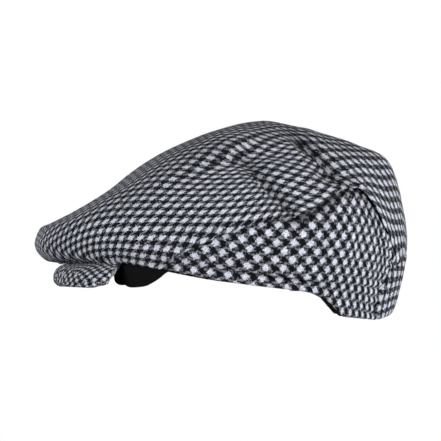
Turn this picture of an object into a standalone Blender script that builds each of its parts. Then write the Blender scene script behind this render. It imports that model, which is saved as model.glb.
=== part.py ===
"""A wool flat cap: a bias-cut crown of a top panel, two side panels and a back panel over a short
arched peak, with a black lining and sweatband inside. It rests on its peak and on the two lobes
behind the ears.

Metres, +Z up. The peak points to -Y and the wearer's left is +X. The origin is the middle of the
footprint, on the surface that the cap rests on. A turn is an angle round the cap, in degrees from
the middle of the front, and a rise runs from 0 at the crown's lower edge to 1 at its top point.
"""

import math

import bmesh
import bpy
from mathutils import Vector

# Crown
LENGTH = 0.273
WIDTH = 0.198
HEIGHT = 0.1375
CLOTH = 0.0018

# Peak: an arch that rests on its two corners, highest in the middle of its root. The heights are its
# upper face's, and the slant is how far its sewn ends lean forwards at their feet.
PEAK_WIDTH = 0.140
PEAK_LENGTH = 0.045
PEAK_THICKNESS = 0.0035
PEAK_ROOT_HEIGHT = 0.0290
PEAK_TIP_HEIGHT = 0.0120
PEAK_CORNER = 0.010
PEAK_SLANT = 0.006
PEAK_SLANT_POWER = 6
PEAK_BLUNT = 2.3
PEAK_ARCH_BLUNT = 3.0
PEAK_EDGE_POWER = 3.5

# Head opening, sweatband and lining
OPENING_SETBACK = 0.0610
OPENING_BOW = 0.0020
OPENING_CORNER = 0.012
OPENING_ROUND = 0.25
BAND_THICKNESS = 0.0012
BAND_HEIGHT = 0.030
LINING = 0.0010

# What touching cloth keeps between its faces, and how far the top panel's folded edge stands proud
SEAM_GAP = 0.0003
SEAM_PROUD = 0.0012
SEAM_PROUD_REACH = 0.009
FOLD_DEPTH = 0.0030
FOLD_WIDTH = 0.0060

# Sections of the crown from its lower edge to its top. front and back are shares of LENGTH from the
# middle, half is a share of WIDTH, the heights are shares of HEIGHT, nose says how blunt the front is.
# Every section is widest at WIDEST_AT, a share of LENGTH behind the middle, and the top point is there.
WIDEST_AT = 0.092
HEIGHT_COLUMNS = ("z_front", "z_temple", "z_side", "z_hip", "z_lobe", "z_back")
SECTION_COLUMNS = ("front", "back", "half", "nose", *HEIGHT_COLUMNS)
SECTIONS = (
    (-0.429, 0.476, 0.432, 1.8, 0.170, 0.160, 0.112, 0.106, -0.012, 0.040),
    (-0.462, 0.484, 0.438, 2.7, 0.146, 0.180, 0.164, 0.135, 0.048, 0.090),
    (-0.489, 0.492, 0.463, 2.8, 0.172, 0.222, 0.210, 0.190, 0.148, 0.180),
    (-0.500, 0.498, 0.485, 2.7, 0.224, 0.282, 0.292, 0.285, 0.262, 0.275),
    (-0.489, 0.500, 0.497, 2.6, 0.300, 0.350, 0.378, 0.372, 0.358, 0.365),
    (-0.458, 0.497, 0.500, 2.5, 0.336, 0.415, 0.455, 0.450, 0.438, 0.438),
    (-0.396, 0.487, 0.492, 2.4, 0.408, 0.500, 0.548, 0.548, 0.540, 0.540),
    (-0.314, 0.471, 0.465, 2.3, 0.515, 0.610, 0.650, 0.655, 0.655, 0.655),
    (-0.240, 0.450, 0.412, 2.2, 0.672, 0.730, 0.750, 0.757, 0.765, 0.772),
    (-0.152, 0.414, 0.334, 2.1, 0.810, 0.838, 0.842, 0.852, 0.864, 0.874),
    (-0.058, 0.344, 0.232, 2.0, 0.912, 0.922, 0.922, 0.922, 0.920, 0.918),
    (0.028, 0.222, 0.116, 2.0, 0.974, 0.978, 0.976, 0.974, 0.972, 0.970),
    (WIDEST_AT, WIDEST_AT, 0.000, 2.0, 1.000, 1.000, 1.000, 1.000, 1.000, 1.000),
)
# The turns that the heights of a section are given at, in the order of HEIGHT_COLUMNS
STATION_TURNS = (0.0, 50.0, 90.0, 115.0, 136.0, 180.0)
BACK_BLUNT = 2.15
SIDE_BLUNT = 2.3
NOSE_ENDS = 60.0
# How many sections bend down to the peak, and the turns over which the crown leaves it
SEAT_SECTIONS = 2
SEAT_LEAVES = 40.0
SEAT_FADE = 9.0

# The seam between the top panel and the panels below it: turn, and height as a share of HEIGHT
SEAM_START = 63.75
SEAM_CORNER = 153.75
SEAM = (
    (63.75, 0.168),
    (70.0, 0.228),
    (77.0, 0.310),
    (85.0, 0.405),
    (91.0, 0.460),
    (97.0, 0.486),
    (104.0, 0.548),
    (110.0, 0.606),
    (118.0, 0.658),
    (124.0, 0.668),
    (129.0, 0.642),
    (134.0, 0.572),
    (140.0, 0.485),
    (148.0, 0.385),
    (153.75, 0.305),
    (165.0, 0.352),
    (180.0, 0.405),
)
# The seam between a side panel and the back panel: share of the way up, and turn
BACK_SEAM = ((0.0, 147.0), (0.3, 142.3), (0.55, 141.6), (0.8, 146.0), (1.0, 153.75))
# How fast the back seam's bend and its gap fade away from it along a panel
BACK_SEAM_FADE = 3
BACK_GAP_FADE = 12
# How much of SEAM_PROUD the folded edge has, by turn
SEAM_STRENGTH = (
    (63.75, 0.0),
    (85.0, 0.3),
    (97.0, 1.0),
    (118.0, 1.0),
    (129.0, 0.7),
    (150.0, 0.0),
    (180.0, 0.0),
)

# Folds of the top panel seen from the side: ends as shares of LENGTH from the middle and of HEIGHT,
# depth and width as shares of FOLD_DEPTH and FOLD_WIDTH
FOLD_COLUMNS = ("y_from", "z_from", "y_to", "z_to", "depth", "width")
FOLDS = (
    (0.002, 0.770, 0.150, 0.490, 1.0, 1.0),
    (0.146, 0.925, 0.264, 0.690, 1.0, 1.0),
    (-0.026, 0.755, 0.110, 0.810, 0.5, 0.8),
    (0.110, 0.810, 0.238, 0.712, 0.5, 0.8),
    (-0.170, 0.300, -0.030, 0.440, 0.4, 1.3),
    (0.330, 0.240, 0.345, 0.440, 0.4, 1.0),
)
# The raised bank beside a fold: its share of the depth, and how many fold widths away it lies
FOLD_BANK = 0.45
FOLD_BANK_AWAY = 1.9
# How a fold fades at its ends: its share left there, and the share of its length that it fades over
FOLD_END = 0.3
FOLD_END_REACH = 0.25

# Lower edge of the sweatband: turn, and height as a share of HEIGHT. It droops below the rim
# between the peak's corners and the ears, and shows a little ahead of the lobes.
BAND_EDGE = (
    (0.0, 0.189),
    (15.0, 0.187),
    (30.0, 0.168),
    (40.0, 0.120),
    (46.0, 0.055),
    (51.0, 0.040),
    (57.0, 0.052),
    (61.0, 0.088),
    (66.0, 0.150),
    (74.0, 0.150),
    (90.0, 0.126),
    (108.0, 0.108),
    (117.0, 0.090),
    (124.0, 0.052),
    (136.0, 0.012),
    (150.0, 0.044),
    (180.0, 0.054),
)
# Where the lining meets the crown's inner face: turn, and rise
LINING_LOW = ((0.0, 0.60), (50.0, 0.50), (90.0, 0.34), (180.0, 0.34))
LINING_BLEND = 0.4

# Facets
COLUMNS = 96
TOP_ROWS = 14
SIDE_ROWS = 8
LINING_ROWS = 8
BAND_COLUMNS = 56
BAND_ROWS = 3
PEAK_COLUMNS = 28
PEAK_ROWS = 7
# How far into the peak the direction of its wall is read, as a share of its width and depth
PEAK_INSIDE = 0.08

# Small steps: to find a direction, to measure a length, to find the seam, and to tell points apart
STEP_TURN = 0.2
STEP_RISE = 0.002
STEP_ALONG = 1.0
REACH_STEPS = 24
SEAM_HIGHEST = 0.9
SEAM_HALVINGS = 30
SAME_POINT = 1e-6
SHARP_ANGLE = 40.0


def eased(knots, values, x):
    """A smooth curve through the knots that never overshoots them, flat at both ends."""
    if x <= knots[0]:
        return values[0]
    if x >= knots[-1]:
        return values[-1]
    k = 0
    while x > knots[k + 1]:
        k += 1
    widths = [knots[i + 1] - knots[i] for i in range(len(knots) - 1)]
    rates = [(values[i + 1] - values[i]) / widths[i] for i in range(len(widths))]

    def slope(i):
        if i == 0 or i == len(rates) or rates[i - 1] * rates[i] <= 0.0:
            return 0.0
        near = 2.0 * widths[i] + widths[i - 1]
        far = widths[i] + 2.0 * widths[i - 1]
        return (near + far) / (near / rates[i - 1] + far / rates[i])

    t = (x - knots[k]) / widths[k]
    left, right = values[k], values[k + 1]
    m0, m1 = slope(k) * widths[k], slope(k + 1) * widths[k]
    return (
        left * (1.0 + 2.0 * t) * (1.0 - t) ** 2
        + m0 * t * (1.0 - t) ** 2
        + right * t * t * (3.0 - 2.0 * t)
        - m1 * t * t * (1.0 - t)
    )


def from_table(table, x):
    """The smooth value at x of a table whose rows are a knot and a value."""
    return eased([row[0] for row in table], [row[1] for row in table], x)


def smooth_step(x):
    """0 below 0, 1 above 1, and a soft passage between."""
    x = min(max(x, 0.0), 1.0)
    return x * x * (3.0 - 2.0 * x)


def mixed(a, b, share):
    """The value that share of the way from a to b."""
    return a + (b - a) * share


def section_at(rise):
    """The crown's section at a rise, its columns by name."""
    rises = [i / (len(SECTIONS) - 1) for i in range(len(SECTIONS))]
    return {
        name: eased(rises, [row[i] for row in SECTIONS], rise)
        for i, name in enumerate(SECTION_COLUMNS)
    }


SECTION_CACHE = {}


def cached_section(rise):
    """The section at a rise, worked out once."""
    key = round(rise, 6)
    if key not in SECTION_CACHE:
        SECTION_CACHE[key] = section_at(rise)
    return SECTION_CACHE[key]


def folded_turn(turn):
    """A turn brought to 0..180, with the side it is on."""
    turn = (turn + 180.0) % 360.0 - 180.0
    return abs(turn), (1.0 if turn >= 0.0 else -1.0)


def plan_point(section, turn):
    """Where a section lies in plan at a turn of 0..180."""
    c, s = math.cos(math.radians(turn)), math.sin(math.radians(turn))
    mid = WIDEST_AT * LENGTH
    half = section["half"] * WIDTH
    if c >= 0.0:
        blunt = mixed(section["nose"], SIDE_BLUNT, smooth_step(turn / NOSE_ENDS))
        reach = section["front"] * LENGTH - mid
    else:
        blunt = mixed(SIDE_BLUNT, BACK_BLUNT, smooth_step((turn - 90.0) / NOSE_ENDS))
        reach = section["back"] * LENGTH - mid
    return half * s ** (2.0 / blunt), mid + reach * abs(c) ** (2.0 / blunt)


def opening_front(x):
    """The forehead edge of the head opening, a shallow bow from temple to temple."""
    return -0.5 * LENGTH + OPENING_SETBACK + OPENING_BOW * (2.0 * x / PEAK_WIDTH) ** 2


def rounded(x, blunt):
    """Height at x of a blunt arch, 1 in the middle and 0 from x = 1 on."""
    return (1.0 - min(abs(x), 1.0) ** blunt) ** (1.0 / blunt)


def peak_root(x):
    """The peak's rear edge, close to the forehead edge and leaning forwards at its ends."""
    lean = PEAK_SLANT * min(abs(2.0 * x / PEAK_WIDTH), 1.0) ** PEAK_SLANT_POWER
    return opening_front(x) - SEAM_GAP - lean


def peak_tip(x):
    """The peak's front edge."""
    arc = rounded(2.0 * x / PEAK_WIDTH, PEAK_BLUNT)
    return opening_front(0.0) - PEAK_CORNER - (PEAK_LENGTH - PEAK_CORNER) * arc


def peak_over(x, y):
    """Height of the peak's upper face."""
    along = (opening_front(0.0) - y) / PEAK_LENGTH
    past_corner = (opening_front(0.0) - PEAK_CORNER - y) / (PEAK_LENGTH - PEAK_CORNER)
    share = rounded(max(past_corner, 0.0), PEAK_BLUNT)
    middle = mixed(PEAK_ROOT_HEIGHT, PEAK_TIP_HEIGHT, along)
    edge = PEAK_TIP_HEIGHT * (1.0 - share * share) ** PEAK_EDGE_POWER
    across = abs(2.0 * x / PEAK_WIDTH) / max(share, SAME_POINT)
    return edge + (middle - edge) * rounded(across, PEAK_ARCH_BLUNT)


def seat_height(x, y):
    """Height of what lies on the peak's upper face."""
    return peak_over(x, y) + 2.0 * SEAM_GAP


def seat_lift(turn, rise):
    """What brings the crown's lower edge down on the peak's upper face, from temple to temple."""
    reach = SEAT_SECTIONS / (len(SECTIONS) - 1)
    fade = 1.0 - smooth_step((turn - SEAT_LEAVES) / SEAT_FADE)
    if fade <= 0.0 or rise >= reach:
        return 0.0
    edge = cached_section(0.0)
    seat = seat_height(*plan_point(edge, turn))
    return (seat - station_height(edge, turn)) * fade * (1.0 - rise / reach) ** 2


def station_height(section, turn):
    """Height of a section at a turn, before it is seated on the peak."""
    heights = [section[name] for name in HEIGHT_COLUMNS]
    return HEIGHT * eased(STATION_TURNS, heights, turn)


def smooth_crown(turn, rise):
    """A point of the crown's outer face before folds."""
    turn, side = folded_turn(turn)
    section = cached_section(rise)
    x, y = plan_point(section, turn)
    return Vector((side * x, y, station_height(section, turn) + seat_lift(turn, rise)))


def fold_depth(point):
    """How far the folds push a point of the top panel in (below 0) or out."""
    total = 0.0
    for row in FOLDS:
        fold = dict(zip(FOLD_COLUMNS, row))
        start = Vector((fold["y_from"] * LENGTH, fold["z_from"] * HEIGHT))
        along = Vector((fold["y_to"] * LENGTH, fold["z_to"] * HEIGHT)) - start
        here = Vector((point.y, point.z)) - start
        share = min(max(here.dot(along) / along.length_squared, 0.0), 1.0)
        away = (here - along * share).length / (fold["width"] * FOLD_WIDTH)
        valley = math.exp(-away * away)
        bank = FOLD_BANK * math.exp(-((away - FOLD_BANK_AWAY) ** 2))
        start_fade = smooth_step(share / FOLD_END_REACH + FOLD_END)
        end_fade = smooth_step((1.0 - share) / FOLD_END_REACH + FOLD_END)
        total += fold["depth"] * FOLD_DEPTH * (bank - valley) * start_fade * end_fade
    return total


def flat_normal(surface, turn, rise):
    """The outward direction of a surface at a turn and rise, straight up at its top point."""
    if rise > 1.0 - STEP_RISE:
        return Vector((0.0, 0.0, 1.0))
    rise = min(max(rise, STEP_RISE), 1.0 - STEP_RISE)
    round_way = surface(turn + STEP_TURN, rise) - surface(turn - STEP_TURN, rise)
    up_way = surface(turn, rise + STEP_RISE) - surface(turn, rise - STEP_RISE)
    return round_way.cross(up_way).normalized()


def crown(turn, rise, proud=False):
    """A point of the crown's outer face with its folds, and the seam's proud edge on the top panel."""
    base = smooth_crown(turn, rise)
    if rise >= 1.0 - STEP_RISE:
        return base
    push = fold_depth(base)
    if proud:
        angle = folded_turn(turn)[0]
        seam = seam_rise(angle)
        away = (rise - seam) * crown_reach(angle)
        strength = from_table(SEAM_STRENGTH, angle)
        push += SEAM_PROUD * strength * math.exp(-((away / SEAM_PROUD_REACH) ** 2))
    return base + flat_normal(smooth_crown, turn, rise) * push


REACH_CACHE = {}


def crown_reach(turn):
    """Length of the crown's outer face from its lower edge to its top at a turn."""
    if turn not in REACH_CACHE:
        rises = [i / REACH_STEPS for i in range(REACH_STEPS + 1)]
        line = [smooth_crown(turn, rise) for rise in rises]
        REACH_CACHE[turn] = sum((b - a).length for a, b in zip(line, line[1:]))
    return REACH_CACHE[turn]


SEAM_CACHE = {}


def seam_rise(turn):
    """Rise of the top panel's lower seam at a turn of 0..180, 0 where the panel reaches the edge."""
    if turn < SEAM_START - STEP_TURN:
        return 0.0
    if turn not in SEAM_CACHE:
        height = HEIGHT * from_table(SEAM, turn)
        low, high = 0.0, SEAM_HIGHEST
        for _ in range(SEAM_HALVINGS):
            middle = 0.5 * (low + high)
            if smooth_crown(turn, middle).z < height:
                low = middle
            else:
                high = middle
        SEAM_CACHE[turn] = 0.5 * (low + high)
    return SEAM_CACHE[turn]


def seam_clearance(turn):
    """Half the seam's gap as a rise, measured square to the seam."""
    here = smooth_crown(turn, seam_rise(turn))
    up = (smooth_crown(turn, seam_rise(turn) + STEP_RISE) - here).length / STEP_RISE
    ahead = min(turn + STEP_ALONG, 180.0)
    behind = max(turn - STEP_ALONG, SEAM_START)
    a, b = smooth_crown(ahead, seam_rise(ahead)), smooth_crown(behind, seam_rise(behind))
    level = math.hypot(a.x - b.x, a.y - b.y)
    slant = math.hypot(1.0, (a.z - b.z) / level)
    return 0.5 * SEAM_GAP * slant / up


def side_region(share, height, end_gap):
    """Turn and rise of a side panel's point, share of the way back and height of the way up."""
    top_turn = mixed(SEAM_START + end_gap, SEAM_CORNER, share)
    top = seam_rise(top_turn) - seam_clearance(top_turn)
    straight = mixed(BACK_SEAM[0][1], BACK_SEAM[-1][1], height)
    low_turn = mixed(SEAM_START + end_gap, BACK_SEAM[0][1], share)
    turn = mixed(low_turn, top_turn, height)
    bulge = from_table(BACK_SEAM, height) - straight
    return turn + share**BACK_SEAM_FADE * bulge - share**BACK_GAP_FADE * end_gap, height * top


def back_region(share, height, end_gap):
    """Turn and rise of the back panel's point, share of the way round and height of the way up."""
    top_turn = mixed(SEAM_CORNER, 360.0 - SEAM_CORNER, share)
    folded = folded_turn(top_turn)[0]
    top = seam_rise(folded) - seam_clearance(folded)
    straight = mixed(BACK_SEAM[0][1], BACK_SEAM[-1][1], height)
    low_turn = mixed(BACK_SEAM[0][1], 360.0 - BACK_SEAM[0][1], share)
    turn = mixed(low_turn, top_turn, height)
    bulge = from_table(BACK_SEAM, height) - straight
    turn += ((1.0 - share) ** BACK_SEAM_FADE - share**BACK_SEAM_FADE) * bulge
    turn += ((1.0 - share) ** BACK_GAP_FADE - share**BACK_GAP_FADE) * end_gap
    return turn, height * top


def top_region(share, height):
    """Turn and rise of the top panel's point, share of the way round and height up to the top."""
    turn = 360.0 * share
    folded = folded_turn(turn)[0]
    low = seam_rise(folded)
    if low > 0.0:
        low += seam_clearance(folded)
    return turn, mixed(low, 1.0, height)


def slab(columns, rows):
    """A flat sheet of quads, one unit long, wide and thick, that the pieces are bent from."""
    bm = bmesh.new()
    bmesh.ops.create_grid(bm, x_segments=columns, y_segments=rows, size=0.5)
    bmesh.ops.translate(bm, verts=bm.verts, vec=(0.5, 0.5, 0.0))
    made = bmesh.ops.extrude_face_region(bm, geom=bm.faces[:])
    raised = [item for item in made["geom"] if isinstance(item, bmesh.types.BMVert)]
    bmesh.ops.translate(bm, verts=raised, vec=(0.0, 0.0, 1.0))
    return bm


def open_side(bm, axis, value):
    """Takes away a slab's wall at one side, so that the bent sheet can close there."""
    walls = [f for f in bm.faces if all(abs(v.co[axis] - value) < SAME_POINT for v in f.verts)]
    bmesh.ops.delete(bm, geom=walls, context="FACES")


def bent(bm, place):
    """Moves each point of the slab to place(share, height, depth) and closes what meets."""
    for vert in bm.verts:
        vert.co = place(*vert.co)
    bmesh.ops.remove_doubles(bm, verts=bm.verts, dist=SAME_POINT)
    bmesh.ops.recalc_face_normals(bm, faces=bm.faces)
    return bm


def walled(surface, thickness, guide):
    """Place for a slab whose upper side is the surface, with its thickness inwards along the guide's
    normal, so that panels that share a guide meet wall to wall."""

    def place(turn, rise, depth):
        face = surface(turn, rise)
        point = face - flat_normal(guide, turn, rise) * thickness * (1.0 - depth)
        if rise < STEP_RISE:
            point.z = max(point.z, face.z)
            if point.y < opening_front(point.x):
                point.z = max(point.z, seat_height(point.x, point.y))
        return point

    return place


def resting(point):
    """The point, lifted to the surface that the cap rests on if cloth would go through it."""
    return Vector((point.x, point.y, max(point.z, 0.0)))


def material(name, colour, roughness):
    """A plain finish in one colour."""
    made = bpy.data.materials.new(name)
    made.use_nodes = True
    shader = made.node_tree.nodes["Principled BSDF"]
    shader.inputs["Base Color"].default_value = (*colour, 1.0)
    shader.inputs["Roughness"].default_value = roughness
    shader.inputs["Metallic"].default_value = 0.0
    made.diffuse_color = (*colour, 1.0)
    return made


def piece(name, bm, finish, collection):
    """Makes the named object of a bent slab."""
    mesh = bpy.data.meshes.new(name)
    bm.to_mesh(mesh)
    bm.free()
    mesh.materials.append(finish)
    mesh.shade_smooth()
    mesh.set_sharp_from_angle(angle=math.radians(SHARP_ANGLE))
    made = bpy.data.objects.new(name, mesh)
    collection.objects.link(made)
    return made


def top_panel():
    """The large bias-cut panel over the front, the top and down to the back."""
    wall = walled(lambda turn, rise: crown(turn, rise, proud=True), CLOTH, smooth_crown)

    def place(share, height, depth):
        return resting(wall(*top_region(share, height), depth))

    bm = slab(COLUMNS, TOP_ROWS)
    open_side(bm, 0, 0.0)
    open_side(bm, 0, 1.0)
    open_side(bm, 1, 1.0)
    return bent(bm, place)


def side_panel(side):
    """A side panel, from the temple to the back seam, left for side 1 and right for side -1."""
    wall = walled(crown, CLOTH, smooth_crown)
    gap = math.degrees(SEAM_GAP / (0.5 * WIDTH))

    def place(share, height, depth):
        turn, rise = side_region(share, height, gap)
        point = resting(wall(turn, rise, depth))
        return Vector((side * point.x, point.y, point.z))

    columns = round((SEAM_CORNER - SEAM_START) * COLUMNS / 360.0)
    return bent(slab(columns, SIDE_ROWS), place)


def back_panel():
    """The small panel over the nape, cut on the straight grain."""
    wall = walled(crown, CLOTH, smooth_crown)
    gap = math.degrees(SEAM_GAP / (0.5 * WIDTH))

    def place(share, height, depth):
        return resting(wall(*back_region(share, height, gap), depth))

    columns = round((360.0 - 2.0 * SEAM_CORNER) * COLUMNS / 360.0)
    return bent(slab(columns, SIDE_ROWS), place)


def peak():
    """The stiff arched peak under the crown's overhang."""

    def face(share, height):
        x = 0.5 * PEAK_WIDTH * math.sin(math.pi * (share - 0.5))
        y = mixed(peak_root(x), peak_tip(x), height)
        return Vector((x, y, peak_over(x, y)))

    def place(share, height, depth):
        near = min(max(share, PEAK_INSIDE), 1.0 - PEAK_INSIDE)
        into = min(max(height, PEAK_INSIDE), 1.0 - PEAK_INSIDE)
        across = face(near + STEP_RISE, into) - face(near - STEP_RISE, into)
        ahead = face(near, into + STEP_RISE) - face(near, into - STEP_RISE)
        down = across.cross(ahead).normalized()
        point = face(share, height) + down * PEAK_THICKNESS * (1.0 - depth)
        if height < SAME_POINT:
            point.y = min(point.y, opening_front(point.x) - SEAM_GAP)
        return resting(point)

    return bent(slab(PEAK_COLUMNS, PEAK_ROWS), place)


def opening_outline(turn, inset=0.0):
    """Plan of the head opening at a turn: inside the rim, and across the forehead."""
    angle, side = folded_turn(turn)
    edge = cached_section(0.0)
    x, y = plan_point(edge, angle)
    ahead = plan_point(edge, min(angle + STEP_ALONG, 180.0))
    behind = plan_point(edge, max(angle - STEP_ALONG, 0.0))
    along = Vector((ahead[0] - behind[0], ahead[1] - behind[1])).normalized()
    depth = CLOTH + SEAM_GAP + inset
    x, y = max(x - along.y * depth, 0.0), y + along.x * depth
    front = opening_front(x) + inset
    overlap = max(OPENING_CORNER - abs(y - front), 0.0) / OPENING_CORNER
    return side * x, max(y, front) + OPENING_ROUND * OPENING_CORNER * overlap * overlap


def band_low(turn):
    """Height of the sweatband's lower edge."""
    return HEIGHT * from_table(BAND_EDGE, folded_turn(turn)[0])


def band_top(turn):
    """Height of the sweatband's upper edge."""
    return station_height(cached_section(0.0), folded_turn(turn)[0]) + BAND_HEIGHT


def sweatband():
    """The black band round the inside of the head opening."""

    def place(share, height, depth):
        turn = 360.0 * share
        x, y = opening_outline(turn, (1.0 - depth) * BAND_THICKNESS)
        return Vector((x, y, mixed(band_low(turn), band_top(turn), height)))

    bm = slab(BAND_COLUMNS, BAND_ROWS)
    open_side(bm, 0, 0.0)
    open_side(bm, 0, 1.0)
    return bent(bm, place)


def lining_face(turn, rise):
    """Outer face of the lining: off the sweatband's upper edge, then close under the crown."""
    low = from_table(LINING_LOW, folded_turn(turn)[0])
    inner = mixed(low, 1.0, rise)
    depth = CLOTH + FOLD_DEPTH + 2.0 * SEAM_GAP
    under = smooth_crown(turn, inner) - flat_normal(smooth_crown, turn, inner) * depth
    x, y = opening_outline(turn)
    foot = Vector((x, y, band_top(turn) + SEAM_GAP))
    return foot.lerp(under, smooth_step(rise / LINING_BLEND))


def lining():
    """The black lining over the head."""
    wall = walled(lining_face, LINING, lining_face)

    def place(share, height, depth):
        point = wall(360.0 * share, height, depth)
        if height < SAME_POINT:
            point.z = band_top(360.0 * share) + SEAM_GAP
        return point

    bm = slab(BAND_COLUMNS, LINING_ROWS)
    open_side(bm, 0, 0.0)
    open_side(bm, 0, 1.0)
    open_side(bm, 1, 1.0)
    return bent(bm, place)


def main():
    """Empties the scene and builds the cap."""
    for old in list(bpy.data.objects):
        bpy.data.objects.remove(old)
    cap = bpy.data.collections.new("flat_cap")
    bpy.context.scene.collection.children.link(cap)
    wool = material("checked_wool", (0.24, 0.24, 0.26), 0.92)
    black_twill = material("black_twill", (0.012, 0.012, 0.014), 0.75)
    black_satin = material("black_satin", (0.015, 0.015, 0.018), 0.55)
    piece("top_panel", top_panel(), wool, cap)
    piece("side_panel_left", side_panel(1.0), wool, cap)
    piece("side_panel_right", side_panel(-1.0), wool, cap)
    piece("back_panel", back_panel(), wool, cap)
    piece("peak", peak(), wool, cap)
    piece("sweatband", sweatband(), black_twill, cap)
    piece("lining", lining(), black_satin, cap)


if __name__ == "__main__":
    main()
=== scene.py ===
"""Dresses the flat cap: houndstooth wool panels, the covered peak, the black band and lining.

Metres, +Z up. The peak points to -Y and the wearer's left is +X. A turn is an angle round the cap,
in degrees from the middle of the front, and a rise runs from 0 at the crown's lower edge to 1 at its
top point.
"""

import logging
import math
from collections.abc import Callable, Iterator
from dataclasses import dataclass, field
from enum import Enum

import bmesh
import bpy
import numpy as np
from mathutils import Matrix, Vector, kdtree, noise


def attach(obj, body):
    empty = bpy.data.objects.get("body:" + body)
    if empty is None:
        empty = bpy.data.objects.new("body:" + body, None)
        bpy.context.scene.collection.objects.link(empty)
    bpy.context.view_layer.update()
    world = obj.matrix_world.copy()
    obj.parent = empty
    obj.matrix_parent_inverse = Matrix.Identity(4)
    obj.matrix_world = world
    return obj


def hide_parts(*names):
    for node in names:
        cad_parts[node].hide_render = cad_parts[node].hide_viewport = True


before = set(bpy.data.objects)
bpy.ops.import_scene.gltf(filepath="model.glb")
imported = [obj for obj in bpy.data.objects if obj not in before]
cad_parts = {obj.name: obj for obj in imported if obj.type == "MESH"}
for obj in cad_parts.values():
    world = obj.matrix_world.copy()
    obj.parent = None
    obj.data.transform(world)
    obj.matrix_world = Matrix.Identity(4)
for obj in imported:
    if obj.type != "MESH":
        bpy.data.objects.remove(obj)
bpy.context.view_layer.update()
LOG = logging.getLogger("flat_cap")
BODY = "root"

# Small steps: to find a direction on a surface, and to tell points apart
STEP_TURN = 0.2
STEP_RISE = 0.002
SAME_POINT = 1e-6
SETTLED = 1e-5
# From how far a face looks sideways its cloth keeps the slope it has in a side view, from how far it
# looks down it counts little in the map, and the little that every face counts
SIDEWAYS = 0.5
HIDDEN = 0.9
LEAST_WEIGHT = 0.06
# Faces that meet at more degrees than this have a sharp edge between them
SHARP = 60.0
# A point in the middle of the head opening, from which every sheet of the crown faces away
HEART = (0.0, 0.02, 0.03)
# Sizes that several pieces share, in metres
CAP_LENGTH = 0.273
WOOL_CLOTH = 0.0018
GAP = 0.0003
# In a metre
MILLIMETRES = 1000.0
BLACK = (0.0, 0.0, 0.0, 1.0)
WHITE = (1.0, 1.0, 1.0, 1.0)

Numbers = np.ndarray
Place = Callable[[Numbers, Numbers], Numbers]
Heading = Callable[[Numbers], "Lay"]
Socket = bpy.types.NodeSocket

# Sections of the crown from its lower edge to its top. front and back are shares of the length from
# the middle, half is a share of the width, the heights are shares of the height, nose says how blunt
# the front is. The top point lies at WIDEST_AT, where every section is widest.
WIDEST_AT = 0.092
HEIGHT_COLUMNS = ("z_front", "z_temple", "z_side", "z_hip", "z_lobe", "z_back")
SECTION_COLUMNS = ("front", "back", "half", "nose", *HEIGHT_COLUMNS)
SECTIONS = (
    (-0.429, 0.476, 0.432, 1.8, 0.170, 0.160, 0.112, 0.106, -0.012, 0.040),
    (-0.462, 0.484, 0.438, 2.7, 0.146, 0.180, 0.164, 0.135, 0.048, 0.090),
    (-0.489, 0.492, 0.463, 2.8, 0.172, 0.222, 0.210, 0.190, 0.148, 0.180),
    (-0.500, 0.498, 0.485, 2.7, 0.224, 0.282, 0.292, 0.285, 0.262, 0.275),
    (-0.489, 0.500, 0.497, 2.6, 0.300, 0.350, 0.378, 0.372, 0.358, 0.365),
    (-0.458, 0.497, 0.500, 2.5, 0.336, 0.415, 0.455, 0.450, 0.438, 0.438),
    (-0.396, 0.487, 0.492, 2.4, 0.422, 0.512, 0.548, 0.548, 0.540, 0.540),
    (-0.314, 0.471, 0.465, 2.3, 0.545, 0.632, 0.650, 0.655, 0.655, 0.655),
    (-0.240, 0.450, 0.412, 2.2, 0.684, 0.738, 0.750, 0.757, 0.765, 0.772),
    (-0.152, 0.414, 0.334, 2.1, 0.810, 0.838, 0.842, 0.852, 0.864, 0.874),
    (-0.058, 0.344, 0.232, 2.0, 0.912, 0.922, 0.922, 0.922, 0.920, 0.918),
    (0.028, 0.222, 0.116, 2.0, 0.974, 0.978, 0.976, 0.974, 0.972, 0.970),
    (WIDEST_AT, WIDEST_AT, 0.000, 2.0, 1.000, 1.000, 1.000, 1.000, 1.000, 1.000),
)
# The turns that the heights of a section are given at, in the order of HEIGHT_COLUMNS
STATION_TURNS = (0.0, 50.0, 90.0, 115.0, 136.0, 180.0)

# The seam under the top panel: turn, and height as a share of the height
SEAM = (
    (63.75, 0.168), (70.0, 0.228), (77.0, 0.310), (85.0, 0.405), (91.0, 0.460),
    (97.0, 0.486), (104.0, 0.548), (110.0, 0.606), (118.0, 0.658), (124.0, 0.668),
    (129.0, 0.642), (134.0, 0.572), (140.0, 0.485), (148.0, 0.385), (153.75, 0.305),
    (165.0, 0.352), (180.0, 0.405),
)
# The seam between a side panel and the back panel: share of the way up, and turn
BACK_SEAM = ((0.0, 147.0), (0.3, 142.3), (0.55, 141.6), (0.8, 146.0), (1.0, 153.75))
# How much the top panel's folded edge stands proud of the side panel, by turn
SEAM_STRENGTH = (
    (63.75, 0.0), (85.0, 0.3), (97.0, 1.0), (118.0, 1.0), (129.0, 0.7),
    (150.0, 0.0), (180.0, 0.0),
)

# Folds seen from the side: ends as shares of the length from the middle and of the height, depth and
# width as shares of the named fold sizes
FOLD_COLUMNS = ("y_from", "z_from", "y_to", "z_to", "depth", "width")
MAIN_FOLDS = 2
FOLDS = (
    (0.002, 0.770, 0.150, 0.490, 1.0, 1.0),
    (0.146, 0.925, 0.264, 0.690, 1.0, 1.0),
    (-0.026, 0.755, 0.110, 0.810, 0.5, 0.8),
    (0.110, 0.810, 0.238, 0.712, 0.5, 0.8),
    (-0.170, 0.300, -0.030, 0.440, 0.4, 1.3),
    (0.330, 0.240, 0.345, 0.440, 0.4, 1.0),
)

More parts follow.
